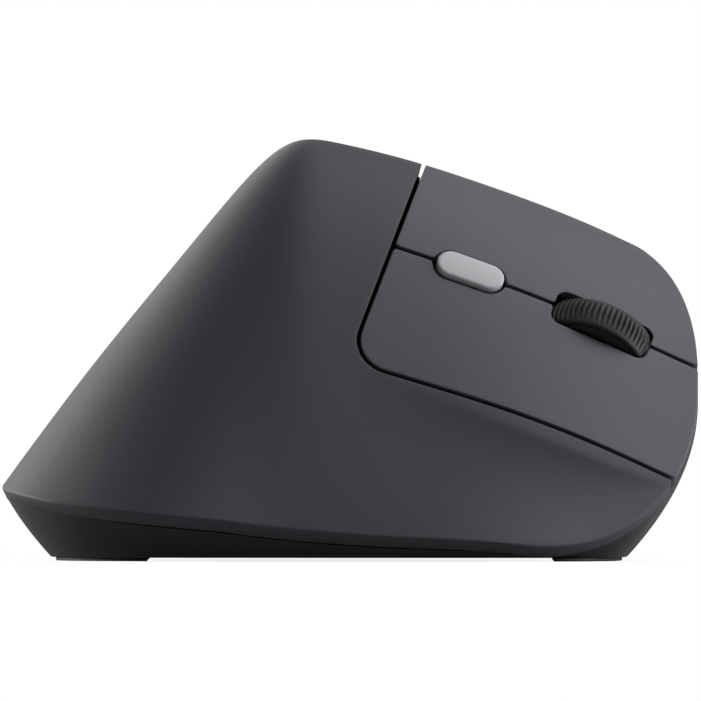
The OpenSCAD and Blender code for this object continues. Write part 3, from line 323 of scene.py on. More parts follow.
def edgeLoops(faces):
    ahead = {(f[k - 1], f[k]) for f in faces for k in range(len(f))}
    following = {a: b for a, b in ahead if (b, a) not in ahead}
    loops = []
    while following:
        start = next(iter(following))
        loop = [start]
        while True:
            nextOne = following.pop(loop[-1], None)
            if nextOne is None or nextOne == start:
                break
            loop.append(nextOne)
        if len(loop) > 3:
            loops.append(loop)
    return loops


def wallFaces(first, second):
    # faces between two rings of points
    return [[int(first[a - 1]), int(second[a - 1]), int(second[a]), int(first[a])] for a in range(len(first))]


# Give a trimmed sheet its wall: a rounded edge, the wall's end, and the inner side
def thicken(points, normals, faces, drop, depth, edgeAt, thick, openLoop=None):
    count = len(points)
    drops = drop(points, normals)
    innerPoints = points + thick * drops
    rings, walls, openRings = [], [], []
    total = 2 * count
    steps = 4
    for loop in edgeLoops(faces):
        ids = np.array(loop)
        p, n = points[ids], normals[ids]
        if openLoop is not None and openLoop(p):
            openRings.append(loop)
            continue
        ahead = np.roll(p, -1, 0) - p
        out = np.cross(ahead, n)
        out /= np.linalg.norm(out, axis=1)[:, None] + 1e-12
        out = out + np.roll(out, 1, 0)
        out /= np.linalg.norm(out, axis=1)[:, None] + 1e-12
        slope = (depth(p) - depth(p + 0.05 * out)) / 0.05
        edge = edgeAt(p)[:, None]
        corner = p + edge / np.clip(slope, 0.55, 1.8)[:, None] * out
        way = drops[ids] / np.linalg.norm(drops[ids], axis=1)[:, None]
        below = corner + edge * way
        first = ids
        for k in range(1, steps + 1):
            s = k / steps
            ring = (1 - s) ** 2 * p + 2 * s * (1 - s) * corner + s * s * below
            new = total + np.arange(len(ids))
            rings.append(ring)
            walls += wallFaces(first, new)
            first = new
            total += len(ids)
        innerPoints[ids] = corner + thick * drops[ids]
        walls += wallFaces(first, ids + count)
    innerFaces = [[k + count for k in reversed(f)] for f in faces]
    allPoints = np.concatenate([points, innerPoints] + rings)
    return allPoints, faces + innerFaces + walls, openRings


def meshPiece(name, points, faces):
    mesh = bpy.data.meshes.new(name)
    mesh.from_pydata((np.clip(points, *cadBox) * mm).tolist(), [], faces)
    mesh.validate()
    piece = bpy.data.objects.new(name, mesh)
    bpy.context.collection.objects.link(piece)
    return piece


def pick(piece):
    bpy.ops.object.select_all(action="DESELECT")
    piece.select_set(True)
    bpy.context.view_layer.objects.active = piece


def applyAll(piece):
    pick(piece)
    for modifier in list(piece.modifiers):
        bpy.ops.object.modifier_apply(modifier=modifier.name)


def joinTo(piece, *others):
    pick(piece)
    for other in others:
        other.select_set(True)
    bpy.ops.object.join()
    return piece


def evenShade(piece, sharp=180):
    # shading follows the broad faces, and the rounded edges turn between them
    pick(piece)
    bpy.ops.object.shade_smooth_by_angle(angle=math.radians(sharp))
    weighted = piece.modifiers.new("weightedNormal", "WEIGHTED_NORMAL")
    weighted.weight = 60
    weighted.keep_sharp = True
    applyAll(piece)
    return piece


def handLines(window, spacing):
    # lines of the sheet about one spacing apart
    u = np.linspace(window[0], window[1], 400)
    v = np.linspace(window[2], window[3], 400)
    alongY = handPoint(np.stack([u, np.full(400, 3.0)], -1))
    across = handPoint(np.stack([np.full(400, 6.0), v], -1))
    lines = []
    for t, run in ((u, alongY), (v, across)):
        length = np.concatenate([[0], np.cumsum(np.linalg.norm(np.diff(run, axis=0), axis=1))])
        lines.append(np.interp(np.linspace(0, length[-1], int(length[-1] / spacing) + 2), length, t))
    return lines


def shellDrop(points, normals):
    # into the wall: along the flared side at the lower edge, leaning out at the ends of the wheel's slot
    depth, ways = footDepth(points)
    side = np.concatenate([ways, -flareSlope(points[:, 2])[:, None]], 1)
    side /= np.linalg.norm(side, axis=1)[:, None]
    facing = (side * normals).sum(1)[:, None]
    along = (facing * side - normals) / np.maximum(1 - facing ** 2, 0.06)
    share = smooth(1 - depth / 6)[:, None]
    drops = -normals * (1 - share) + along * share
    q = inFrame(points, faceFrame)
    lean = smooth(1 - slotOutside(q) / 3) * smooth((np.abs(q[:, 1]) - 5) / 3.9) * np.sign(q[:, 1])
    lean *= (np.abs(q[:, 0]) < 6) & (q[:, 2] > -8)
    return drops + wheelSlot["lean"] * lean[:, None] * faceFrame["turn"][:, 1]


def moulding(name, room, window, spacing, edge, thick=handShape["wall"], place=handPoint,
             drop=shellDrop):
    def edgeAt(p):
        return edge(p) if callable(edge) else np.full(len(p), edge)

    def trimmed(p):
        return room(p) - edgeAt(p)

    params, faces = trimSheet(place, trimmed, *handLines(window, spacing), spacing)
    points, normals = place(params), surfaceNormal(place, params)
    points, faces, _ = thicken(points, normals, faces, drop, room, edgeAt, thick)
    piece = evenShade(meshPiece(name, points, faces))
    print(name, "moulded:", len(faces), "faces")
    return piece


# Shell over the hand's heel, ridge and sides
mainShell = {"window": (0, 9, 0, 10), "spacing": 0.85, "edge": 0.2, "flareEdge": 0.55}


def shellSeams(p):
    return both(-keyOpening(p), -thumbRoom(p, seams["gap"]))


def shellRoom(p):
    return both(inFoot(p), shellSeams(p))


def shellEdge(p):
    # softer along the flare than at the seams
    share = smooth((shellSeams(p) - inFoot(p)) / 4)
    return mainShell["edge"] + (mainShell["flareEdge"] - mainShell["edge"]) * share


shell = moulding("shellMoulding", shellRoom, mainShell["window"], mainShell["spacing"], shellEdge)

# Ledges of the shell under the keys' edges, which close the seams from inside
ledges = {"spacing": 0.7, "edge": 0.15, "thick": 0.9, "drop": 1.6, "step": 1.3, "over": 3.0, "under": 9.0,
          "back": 30, "side": 2.4, "rearX": -11,
          "rear": [{"drop": 0.4, "under": -0.05, "low": 57, "high": 66.5},
                   {"drop": 1.6, "under": 2.5, "low": 55, "high": 63.5}]}


def straightDrop(points, normals):
    return -normals


def addLedge(name, inward, room, window, drop):
    # steps down from the shell's inner side to below the key
    def place(params):
        points = handPoint(params)
        deep = handShape["wall"] - 0.3 + drop * smooth(inward(points) / ledges["step"])
        return points - deep[:, None] * surfaceNormal(handPoint, params)
    made = moulding(name, room, window, ledges["spacing"], ledges["edge"], ledges["thick"], place,
                    straightDrop)
    joinTo(shell, made)


def lowerLedge(p):
    q = inFrame(p, faceFrame)
    return both(inFoot(p) - ledges["side"], q[:, 0] - seams["keyDrop"] + ledges["under"],
                seams["keyDrop"] + ledges["over"] - q[:, 0], q[:, 1] + ledges["back"], q[:, 2] + 20)


def rearLedge(rear):
    def room(p):
        y = inFrame(p, faceFrame)[:, 1] + seams["keyBack"]
        return both(y + ledges["over"], rear["under"] - y, rear["high"] - p[:, 2], p[:, 2] - rear["low"],
                    ledges["rearX"] - p[:, 0])
    return room


def lowerInward(p):
    return seams["keyDrop"] + seams["gap"] + ledges["step"] - inFrame(p, faceFrame)[:, 0]


def rearInward(p):
    return inFrame(p, faceFrame)[:, 1] + seams["keyBack"] + seams["gap"] + ledges["step"]


addLedge("lowerLedge", lowerInward, lowerLedge, (4, 9, 0, 4), ledges["drop"])
for rear in ledges["rear"]:
    addLedge("rearLedge", rearInward, rearLedge(rear), (4, 8, 5, 8), rear["drop"])

# Finger keys, with the wheel's slot and the speed button's hole between them
fingerKeys = {"leftWindow": (4, 9, 2, 7), "rightWindow": (4, 9, 0, 4), "spacing": 0.55, "edge": 0.18}
leftKey = moulding("leftKeyMoulding", lambda p: both(inFoot(p), leftKeyRoom(p), holesOutside(p)),
                   fingerKeys["leftWindow"], fingerKeys["spacing"], fingerKeys["edge"])
rightKey = moulding("rightKeyMoulding", lambda p: both(inFoot(p), rightKeyRoom(p), holesOutside(p)),
                    fingerKeys["rightWindow"], fingerKeys["spacing"], fingerKeys["edge"])

# Thumb cover with its two holes
thumbCover = {"window": (3, 9, 4, 10), "spacing": 0.6, "edge": 0.28}


def thumbHolesOutside(p):
    q = inFrame(p, thumbFrame)
    return both(*[pillOutside(q, -side * thumbHoles["step"] / 2, thumbHoles) for side in (-1, 1)])


thumbSide = moulding("thumbCoverMoulding", lambda p: both(inFoot(p), thumbRoom(p), thumbHolesOutside(p)),
                     thumbCover["window"], thumbCover["spacing"], thumbCover["edge"])

# Speed button: a crowned pill with soft edges
speedButton = {"wide": 5.4, "long": 12.0, "rise": 0.85, "crown": 0.12, "edge": 0.5, "deep": 4.0,
               "spacing": 0.3}


def speedTop(params):
    points = handPoint(params)
    q = inFrame(points, faceFrame)
    rise = speedButton["rise"] - speedButton["crown"] * np.clip(q[:, 0] / speedButton["wide"] * 2, -1, 1) ** 2
    return points + rise[:, None] * surfaceNormal(handPoint, params)


speedCap = moulding("speedButtonMoulding",
                    lambda p: -pillOutside(inFrame(p, faceFrame), speedHole["back"], speedButton),
                    (5, 8, 1, 4), speedButton["spacing"], speedButton["edge"], speedButton["deep"],
                    speedTop, straightDrop)

# Thumb buttons: two pills in line
thumbButtons = {"wide": 6.0, "long": 14.0, "rise": 1.0, "edge": 0.7, "deep": 4.2, "spacing": 0.35}


def thumbTop(params):
    return handPoint(params) + thumbButtons["rise"] * surfaceNormal(handPoint, params)


def thumbCap(name, side):
    def room(p):
        q = inFrame(p, thumbFrame)
        inPill = -pillOutside(q, -side * thumbHoles["step"] / 2, thumbButtons)
        return both(inPill, q[:, 2] + 12)
    return moulding(name, room, (4, 9, 6, 9), thumbButtons["spacing"], thumbButtons["edge"],
                    thumbButtons["deep"], thumbTop, straightDrop)


forwardCap = thumbCap("forwardButtonMoulding", 1)
backCap = thumbCap("backButtonMoulding", -1)
print("mouldings done")

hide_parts("main_shell")
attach(shell, "case")
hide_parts("thumb_cover")
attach(thumbSide, "case")
for piece, node, body in ((leftKey, "left_key_cover", "left_key"),
                          (rightKey, "right_key_cover", "right_key")):
    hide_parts(node)
    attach(piece, body)
for piece, node, body, slot in ((speedCap, "speed_button", "speed_key", "speed_cap"),
                                (forwardCap, "forward_button", "forward_key", "keys"),
                                (backCap, "back_button", "back_key", "keys")):
    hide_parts(node)
    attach(piece, body)

# Base: a flared tub below the shells, with its floor
baseTub = {"spacing": 0.9, "edge": 0.2, "footEdge": 0.25, "topZ": 62}


def footRun():
    # points round the foot at even steps, with the way out at each
    angles = np.radians(np.arange(0, 360, 0.1))
    ways = np.stack([np.cos(angles), np.sin(angles)], -1)
    rounds = np.array(foot["rounds"])
    best = (ways @ rounds[:, :2].T + rounds[:, 2]).argmax(1)
    run = rounds[best, :2] + rounds[best, 2:] * ways
    run, ways = np.concatenate([run, run[:1]]), np.concatenate([ways, ways[:1]])
    length = np.concatenate([[0], np.cumsum(np.linalg.norm(np.diff(run, axis=0), axis=1))])
    return length / length[-1], run, ways, length[-1]


runShare, runPoints, runWays, runLength = footRun()
shiftShare = np.linspace(0, 1, 721)
footShift = np.zeros(721)


def basePoint(params):
    s = params[:, 0] % 1
    x, y, wx, wy = [np.interp(s, runShare, a) for a in (*runPoints.T, *runWays.T)]
    out = (flare(params[:, 1]) - np.interp(s, shiftShare, footShift)) / np.hypot(wx, wy)
    return np.stack([x + wx * out, y + wy * out, params[:, 1]], -1)


sectionY = np.linspace(-62, 60, 245)
uDense = np.linspace(0, spans[0], 4000)
sectionU = np.interp(sectionY, handPoint(np.stack([uDense, np.full(4000, 3.0)], -1))[:, 1], uDense)
sectionV = np.linspace(0, spans[1], 401)
sectionParams = np.stack([a.ravel() for a in np.meshgrid(sectionU, sectionV, indexing="ij")], -1)
sectionPoints = handPoint(sectionParams)[:, [0, 2]].reshape(245, 401, 2)
sectionWays = surfaceNormal(handPoint, sectionParams)[:, [0, 2]].reshape(245, 401, 2)
sectionWays /= np.linalg.norm(sectionWays, axis=2)[:, :, None]


def roofDepth(p):
    # depth below the hand shape, within the plane across it
    depth = np.empty(len(p))
    for k in range(0, len(p), 2048):
        part = p[k:k + 2048]
        f = np.clip((part[:, 1] - sectionY[0]) / (sectionY[1] - sectionY[0]), 0, len(sectionY) - 1.001)
        i = f.astype(int)
        found = []
        for row in (i, i + 1):
            away = part[:, None, [0, 2]] - sectionPoints[row]
            nearest = (away * away).sum(2).argmin(1)
            pickOne = np.arange(len(part))
            found.append(-(away[pickOne, nearest] * sectionWays[row, nearest]).sum(1))
        depth[k:k + 2048] = found[0] * (1 - (f - i)) + found[1] * (f - i)
    return depth


def baseRoom(p):
    depth = roofDepth(p)
    q = inFrame(p, faceFrame)
    underKeys = both(seams["keyDrop"] + seams["gap"] - q[:, 0], q[:, 1] + seams["keyBack"],
                     q[:, 2] + seams["keySkirt"] + seams["skirtGap"])
    wall = handShape["wall"]
    return both(depth - wall - foot["rimGap"], np.maximum(depth - wall - seams["keyRoom"], -underKeys))


def drawIn(bottom):
    # where the shell comes down to the floor, the foot draws in below it
    around = basePoint(np.stack([shiftShare, np.full(721, bottom + 0.15)], -1))
    need = np.maximum(baseTub["edge"] + 0.35 - baseRoom(around), 0) / 0.7
    wide = np.max([np.roll(need[:-1], k) for k in range(-10, 11)], axis=0)
    soft = np.mean([np.roll(wide, k) for k in range(-10, 11)], axis=0)
    return np.append(soft, soft[0])


def buildBase():
    bottom = foot["baseZ"] + baseTub["footEdge"]
    footShift[:] = drawIn(bottom)
    around = np.linspace(0, 1, int(runLength / baseTub["spacing"]) + 1)
    rise = np.linspace(bottom, baseTub["topZ"], int((baseTub["topZ"] - bottom) / baseTub["spacing"]) + 1)
    params, faces = trimSheet(basePoint, lambda p: baseRoom(p) - baseTub["edge"], around, rise,
                              baseTub["spacing"])
    points, params, faces = weld(basePoint(params), params, faces)
    normals = surfaceNormal(basePoint, params)
    count = len(points)
    points, faces, openRings = thicken(points, normals, faces, straightDrop, baseRoom,
                                       lambda p: np.full(len(p), baseTub["edge"]), foot["wall"],
                                       lambda p: p[:, 2].max() < bottom + 0.01)
    points[count:2 * count, 2] = np.maximum(points[count:2 * count, 2], foot["floorZ"])
    loop = np.array(openRings[0])
    edge = points[loop]
    corner = basePoint(np.stack([params[loop, 0], np.full(len(loop), foot["baseZ"])], -1))
    ways = np.concatenate([footDepth(corner)[1], np.zeros((len(loop), 1))], 1)
    inward = corner - ways * baseTub["footEdge"]
    first, total = loop, len(points)
    for s in (0.25, 0.5, 0.75, 1.0):
        ring = (1 - s) ** 2 * edge + 2 * s * (1 - s) * corner + s * s * inward
        new = total + np.arange(len(loop))
        points = np.concatenate([points, ring])
        faces += wallFaces(first, new)
        first, total = new, total + len(loop)
    faces.append([int(k) for k in reversed(first)])
    faces.append([int(k + count) for k in loop])
    return meshPiece("baseTub", points, faces)


def span(low, high):
    pairs = list(zip(low, high))
    return {"at": [(a + b) / 2 * mm for a, b in pairs], "size": [(b - a) * mm for a, b in pairs]}


def addBox(name, low, high, corner=0.0):
    # a box with its edges rounded
    box = span(low, high)
    bpy.ops.object.select_all(action="DESELECT")
    bpy.ops.mesh.primitive_cube_add(size=1, location=box["at"], scale=box["size"])
    bpy.ops.object.transform_apply(location=True, rotation=True, scale=True)
    made = bpy.context.object
    made.name = made.data.name = name
    if corner:
        bpy.ops.object.mode_set(mode="EDIT")
        bpy.ops.mesh.select_all(action="SELECT")
        bpy.ops.mesh.bevel(offset=corner * mm, segments=5, affect="EDGES")
        bpy.ops.object.mode_set(mode="OBJECT")
    return made


def addRound(name, at, diameter, low, high, sides=48):
    bpy.ops.object.select_all(action="DESELECT")
    bpy.ops.mesh.primitive_cylinder_add(vertices=sides, radius=diameter / 2 * mm, depth=(high - low) * mm,
                                        location=(at[0] * mm, at[1] * mm, (low + high) / 2 * mm))
    bpy.ops.object.transform_apply(location=True, rotation=True, scale=True)
    made = bpy.context.object
    made.name = made.data.name = name
    return made


def cutOut(piece, cutter):
    boolean = piece.modifiers.new("cutOut", "BOOLEAN")
    boolean.operation = "DIFFERENCE"
    boolean.solver = "EXACT"
    boolean.object = cutter
    applyAll(piece)
    mesh = cutter.data
    bpy.data.objects.remove(cutter)
    bpy.data.meshes.remove(mesh)


# Openings of the floor, and the walls round the cell and the receiver
underside = {"bayX": (-13.65, 1.65), "bayY": (-40.0, 13.5), "bayWall": 1.2, "bayTop": 12.0,
             "receiverAt": (17, -14), "receiverHalf": (3.3, 7.5), "pocketWall": 1.2, "pocketTop": 22.0,
             "screws": [(16, -36), (-19, -32), (26, 16), (-24, 9)], "screwHole": 4.5,
             "powerAt": (20, 2), "powerHalf": (1.25, 2.5), "powerPan": (2.8, 4.4),
             "sensorAt": (2, 30.6), "sensorHole": 5.3, "sensorPan": (5.0, 2.5)}


def wellWalls(name, low, high, wall, lid):
    # four walls round a hollow, closed at the top where there is a lid
    made = addBox(name, low, high, 0.8)
    hollowTop = high[2] - wall if lid else high[2] + 1
    cutOut(made, addBox("hollow", (low[0] + wall, low[1] + wall, low[2] - 1),
                        (high[0] - wall, high[1] - wall, hollowTop), 0.4))
    return made


def cutPan(piece, name, at, half, top, corner):
    # a pan or an opening from below, round a middle
    low = (at[0] - half[0], at[1] - half[1], -1)
    high = (at[0] + half[0], at[1] + half[1], top)
    cutOut(piece, addBox(name, low, high, corner))


def finishBase(base):
    u = underside
    z0, z1 = foot["baseZ"], foot["floorZ"]
    doorLow, doorHigh = (u["bayX"][0], u["bayY"][0], -1), (u["bayX"][1], u["bayY"][1], z1 + 1)
    cutOut(base, addBox("doorCut", doorLow, doorHigh, 0.5))
    rx, ry = u["receiverAt"]
    hx, hy = u["receiverHalf"]
    cutPan(base, "receiverCut", u["receiverAt"], u["receiverHalf"], z1 + 1, 0.6)
    cutPan(base, "powerPan", u["powerAt"], u["powerPan"], z0 + 0.5, 1.2)
    cutPan(base, "powerCut", u["powerAt"], u["powerHalf"], z1 + 1, 0.3)
    cutPan(base, "sensorPan", u["sensorAt"], u["sensorPan"], z0 + 0.7, 1.0)
    cutOut(base, addRound("sensorCut", u["sensorAt"], u["sensorHole"], -1, z1 + 1))
    for at in u["screws"]:
        cutOut(base, addRound("screwCut", at, u["screwHole"], -1, z1 + 1))
    bevel = base.modifiers.new("edges", "BEVEL")
    bevel.width = 0.12 * mm
    bevel.segments = 2
    bevel.limit_method = "ANGLE"
    bevel.angle_limit = math.radians(50)
    applyAll(base)
    w = u["bayWall"]
    bay = wellWalls("bayWalls", (u["bayX"][0] - w, u["bayY"][0] - w, z1 - 0.4),
                    (u["bayX"][1] + w, u["bayY"][1] + w, u["bayTop"]), w, False)
    w = u["pocketWall"]
    pocketLow = (rx - hx - w, ry - hy - w, z1 - 0.4)
    pocketHigh = (rx + hx + w, ry + hy + w, u["pocketTop"])
    pocket = wellWalls("pocketWalls", pocketLow, pocketHigh, w, True)
    joinTo(base, bay, pocket)
    return evenShade(base)


base = finishBase(buildBase())
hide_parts("base_case")
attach(base, "case")
print("base done:", len(base.data.polygons), "faces")

# Wheel's tyre: grooves that widen and deepen towards the middle of a crowned tread
tyre = {"radius": 11.0, "wide": 5.8, "ribs": 70, "groove": 0.7, "grooveHalf": 0.33, "hub": 9.42,
        "axleZ": -8.0, "crown": 0.4, "shoulder": 0.55}


def buildTyre():
    half, outer = tyre["wide"] / 2, tyre["radius"]
    shares = np.array([-0.5, -0.33, -0.25, -0.15, -0.05, 0.05, 0.15, 0.25, 0.33])
    angles = (np.arange(tyre["ribs"])[:, None] + shares).ravel() / tyre["ribs"] * 2 * math.pi
    side = np.tile(np.abs(shares), tyre["ribs"]) / tyre["grooveHalf"]
    edge = outer - tyre["crown"]
    # side with a dished face, a lip and a thin groove below the tread
    sideLine = [(0.3, tyre["hub"]), (0.22, edge - 1.0), (0.03, edge - 0.74), (0.05, edge - 0.64),
                (0.25, edge - 0.6), (0.25, edge - 0.44), (0.04, edge - 0.4), (0.14, edge - 0.2),
                (0.34, edge - 0.06)]
    across = [(inset - half, r, 0) for inset, r in sideLine]
    for s in np.linspace(-1, 0, 7):
        deep = tyre["groove"] * (1 - s * s) ** 0.8
        across.append((s * (half - tyre["shoulder"]), outer - tyre["crown"] * s * s, deep))
    across += [(-x, r, deep) for x, r, deep in reversed(across[:-1])]
    rows = []
    for x, r, deep in across:
        radius = r - np.maximum(deep - tyre["groove"] * side, 0)
        rows.append(np.stack([np.full(len(angles), x), radius * np.cos(angles), radius * np.sin(angles)], -1))
    around = len(angles)
    faces = []
    for r in range(len(across)):
        here, there = r * around, (r + 1) % len(across) * around
        for a in range(around):
            b = (a + 1) % around
            faces.append([here + a, here + b, there + b, there + a])
    local = np.concatenate(rows) + (0, 0, tyre["axleZ"])
    made = meshPiece("tyreRibbed", faceFrame["at"] + local @ faceFrame["turn"].T, faces)
    pick(made)
    bpy.ops.object.mode_set(mode="EDIT")
    bpy.ops.mesh.select_all(action="SELECT")
    bpy.ops.mesh.normals_make_consistent(inside=False)
    bpy.ops.object.mode_set(mode="OBJECT")
    bpy.ops.object.shade_smooth_by_angle(angle=math.radians(32))
    return made


wheelTyre = buildTyre()
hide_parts("wheel_tyre")
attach(wheelTyre, "wheel")
print("tyre done")


# Pieces whose solid is right: a copy with its edges eased
def easedCopy(node, body, width, segments=2, angle=35):
    source = frame["nodes"][node]
    mesh = source.data.copy()
    mesh.transform(source.matrix_world)
    mesh.materials.clear()
    made = bpy.data.objects.new(node + "Eased", mesh)
    bpy.context.collection.objects.link(made)
    pick(made)
    if mesh.has_custom_normals:
        bpy.ops.mesh.customdata_custom_splitnormals_clear()
    bpy.ops.object.mode_set(mode="EDIT")
    bpy.ops.mesh.select_all(action="SELECT")
    bpy.ops.mesh.remove_doubles(threshold=0.002 * mm)
    bpy.ops.mesh.dissolve_limited(angle_limit=math.radians(1.5))
    bpy.ops.object.mode_set(mode="OBJECT")
    bevel = made.modifiers.new("edges", "BEVEL")
    bevel.width = width * mm
    bevel.segments = segments
    bevel.limit_method = "ANGLE"
    bevel.angle_limit = math.radians(angle)
    applyAll(made)
    evenShade(made, 50)
    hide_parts(node)
    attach(made, body)
    return made


easedEdges = [("cell_door", "door", "base", 0.18), ("glide_pads", "case", "pads", 0.15),
              ("case_screws", "case", "steel", 0.1), ("power_knob", "power_slider", "rubber", 0.08),
              ("power_switch", "case", "steel", 0.1), ("usb_receiver", "receiver", "steel", 0.2),
              ("wheel_hub", "wheel", "frame_plastic", 0.15),
              ("wheel_cradle", "wheel_carrier", "frame_plastic", 0.15),
              ("cell", "case", "cell_wrap", 0.25), ("cell_contact_front", "case", "steel", 0.06),
              ("cell_contact_rear", "case", "steel", 0.06)]
eased = {node: easedCopy(node, body, width) for node, body, slot, width in easedEdges}
print("eased copies:", len(eased))


# Finishes: shader maths on sockets, written as expressions
class Wire:
    def __init__(self, tree, socket):
        self.tree, self.socket = tree, socket

    def node(self, kind, settings=None, values=None, out=0):
        made = self.tree.nodes.new("ShaderNode" + kind)
        for name, value in (settings or {}).items():
            if name == "stops":
                for spare in range(len(value) - len(made.color_ramp.elements)):
                    made.color_ramp.elements.new(1.0)
                for stop, (at, colour) in zip(made.color_ramp.elements, value):
                    stop.position, stop.color = at, colour
            else:
                setattr(made, name, value)
        for name, value in (values or {}).items():
            if isinstance(value, Wire):
                self.tree.links.new(value.socket, made.inputs[name])
            else:
                made.inputs[name].default_value = value
        return Wire(self.tree, made.outputs[out])

    def math(self, operation, a, b):
        return self.node("Math", {"operation": operation}, {0: a, 1: b})

    def __add__(self, other):
        return self.math("ADD", self, other)

    def __radd__(self, other):
        return self.math("ADD", other, self)

    def __sub__(self, other):
        return self.math("SUBTRACT", self, other)

    def __rsub__(self, other):
        return self.math("SUBTRACT", other, self)

    def __mul__(self, other):
        return self.math("MULTIPLY", self, other)

    def __rmul__(self, other):
        return self.math("MULTIPLY", other, self)

    def __gt__(self, other):
        return self.math("GREATER_THAN", self, other)


def tone(red, green, blue):
    # screen colour, 0 to 255, as the light that it stands for
    parts = [c / 255 for c in (red, green, blue)]
    return tuple(c / 12.92 if c <= 0.04045 else ((c + 0.055) / 1.055) ** 2.4 for c in parts) + (1.0,)


def shade(colour, share):
    return tuple(c * share for c in colour[:3]) + (1.0,)


def newFinish(name):
    material = bpy.data.materials.new(name)
    material.use_nodes = True
    tree = material.node_tree
    tree.nodes.clear()
    at = tree.nodes.new("ShaderNodeTexCoord").outputs["Object"]
    return material, Wire(tree, at)


def closeFinish(material, start, values):
    surface = start.node("BsdfPrincipled", None, values)
    out = start.tree.nodes.new("ShaderNodeOutputMaterial")
    start.tree.links.new(surface.socket, out.inputs["Surface"])
    return material


def noise(at, size, detail=2.0, rough=0.5, out=0):
    values = {"Vector": at, "Scale": 1 / (size * mm), "Detail": detail, "Roughness": rough}
    return at.node("TexNoise", None, values, out)


def mixTone(at, share, low, high):
    return at.node("Mix", {"data_type": "RGBA"}, {0: share, 6: low, 7: high}, 2)


def bump(at, height, strength, distance):
    return at.node("Bump", None, {"Height": height, "Strength": strength, "Distance": distance * mm})


# Moulded plastic with a fine even grain, a soft cloud of tone and a faint change of gloss
def mouldedPlastic(name, colour, rough, grain=0.22, grainDepth=0.012, strength=0.2, specular=0.25):
    material, at = newFinish(name)
    fine = noise(at, grain, 2.0)
    cloud = noise(at, 18.0, 3.0)
    colourNow = mixTone(at, cloud, shade(colour, 0.95), shade(colour, 1.05))
    roughNow = rough + (cloud - 0.5) * 0.08 + (fine - 0.5) * 0.1
    return closeFinish(material, at, {"Base Color": colourNow, "Roughness": roughNow,
                                      "Specular IOR Level": specular,
                                      "Normal": bump(at, fine, strength, grainDepth)})


# Rubber with a dry, dusty surface
def rubber(name, colour, rough):
    material, at = newFinish(name)
    dust = noise(at, 1.4, 4.0, 0.65)
    fine = noise(at, 0.12, 2.0)
    colourNow = mixTone(at, dust, shade(colour, 0.8), shade(colour, 1.25))
    return closeFinish(material, at, {"Base Color": colourNow, "Roughness": rough + (dust - 0.5) * 0.15,
                                      "Specular IOR Level": 0.35, "Normal": bump(at, fine, 0.3, 0.01)})


# Steel with fine rolling lines
def steelSheet(name, colour, rough):
    material, at = newFinish(name)
    lines = at.node("Mapping", {"vector_type": "POINT"}, {"Vector": at, "Scale": (1.0, 0.06, 1.0)})
    streak = noise(lines, 0.12, 3.0)
    colourNow = mixTone(at, streak, shade(colour, 0.85), shade(colour, 1.05))
    return closeFinish(material, at, {"Base Color": colourNow, "Metallic": 1.0,
                                      "Roughness": rough + (streak - 0.5) * 0.2,
                                      "Normal": bump(at, streak, 0.12, 0.005)})


# Circuit board: green lacquer over faint copper traces
def circuitBoard(name, colour):
    material, at = newFinish(name)
    trace = at.node("TexBrick", {"offset": 0.5}, {"Vector": at, "Scale": 420.0, "Mortar Size": 0.03,
                                                 "Color1": (0, 0, 0, 1), "Color2": (0.15, 0.15, 0.15, 1),
                                                 "Mortar": (1, 1, 1, 1)}, 1)
    cloud = noise(at, 4.0, 2.0)
    colourNow = mixTone(at, trace * 0.7 + cloud * 0.2, colour, shade(colour, 1.9))
    return closeFinish(material, at, {"Base Color": colourNow, "Roughness": 0.34 + (cloud - 0.5) * 0.1,
                                      "Normal": bump(at, trace, 0.2, 0.02)})


# Clear moulded lens
def clearLens(name, colour):
    material, at = newFinish(name)
    swirl = noise(at, 6.0, 2.0)
    return closeFinish(material, at, {"Base Color": mixTone(at, swirl, colour, shade(colour, 1.03)),
                                      "Roughness": 0.06 + swirl * 0.05,
                                      "Transmission Weight": 1.0, "IOR": 1.49})


# Cell: a printed wrap with a bright end
def cellWrap(name, colour, band, bandY):
    material, at = newFinish(name)
    y = at.node("SeparateXYZ", None, {"Vector": at}, 1)
    end = y > bandY * mm
    cloud = noise(at, 3.0, 2.0)
    colourNow = mixTone(at, end, mixTone(at, cloud, shade(colour, 0.92), shade(colour, 1.06)), band)
    return closeFinish(material, at, {"Base Color": colourNow, "Metallic": end * 0.9,
                                      "Roughness": 0.28 + cloud * 0.08})


finishes = {
    "shell": mouldedPlastic("shellPlastic", tone(67, 64, 70), 0.58),
    # painted light: the keys are the shell's plastic painted lighter, for the light that falls on their
    # upward faces
    "keys": mouldedPlastic("keyPlasticPaintedLight", tone(84, 81, 87), 0.56),
    # painted shade: the base is the shell's plastic painted darker, for the shade that falls under the shell
    "base": mouldedPlastic("basePlasticPaintedShade", tone(34, 31, 37), 0.55, 0.3),
    "speed_cap": mouldedPlastic("speedCapPlastic", tone(182, 181, 185), 0.42, 0.18, 0.006),
    "rubber": rubber("tyreRubber", tone(37, 36, 40), 0.62),
    "frame_plastic": mouldedPlastic("framePlastic", tone(48, 48, 52), 0.5, 0.4),
    "board": circuitBoard("boardLacquer", tone(20, 84, 50)),
    "chip": mouldedPlastic("chipPlastic", tone(34, 34, 37), 0.45, 0.15),
    "plunger": mouldedPlastic("plungerPlastic", tone(150, 38, 34), 0.4, 0.2, 0.006),
    "steel": steelSheet("sheetSteel", tone(190, 192, 196), 0.32),
    "lens": clearLens("lensPlastic", tone(222, 232, 238)),
    "ribbon": mouldedPlastic("ribbonFilm", tone(206, 206, 202), 0.35, 0.5, 0.004),
    "cell_wrap": cellWrap("cellWrap", tone(34, 36, 40), tone(196, 150, 92), -2.0),
    "pads": mouldedPlastic("padFilm", tone(20, 20, 22), 0.6, 0.5, 0.004),
}
slotOf = {part["node"]: part["material_slot"] for part in frame["record"]["subparts"]}
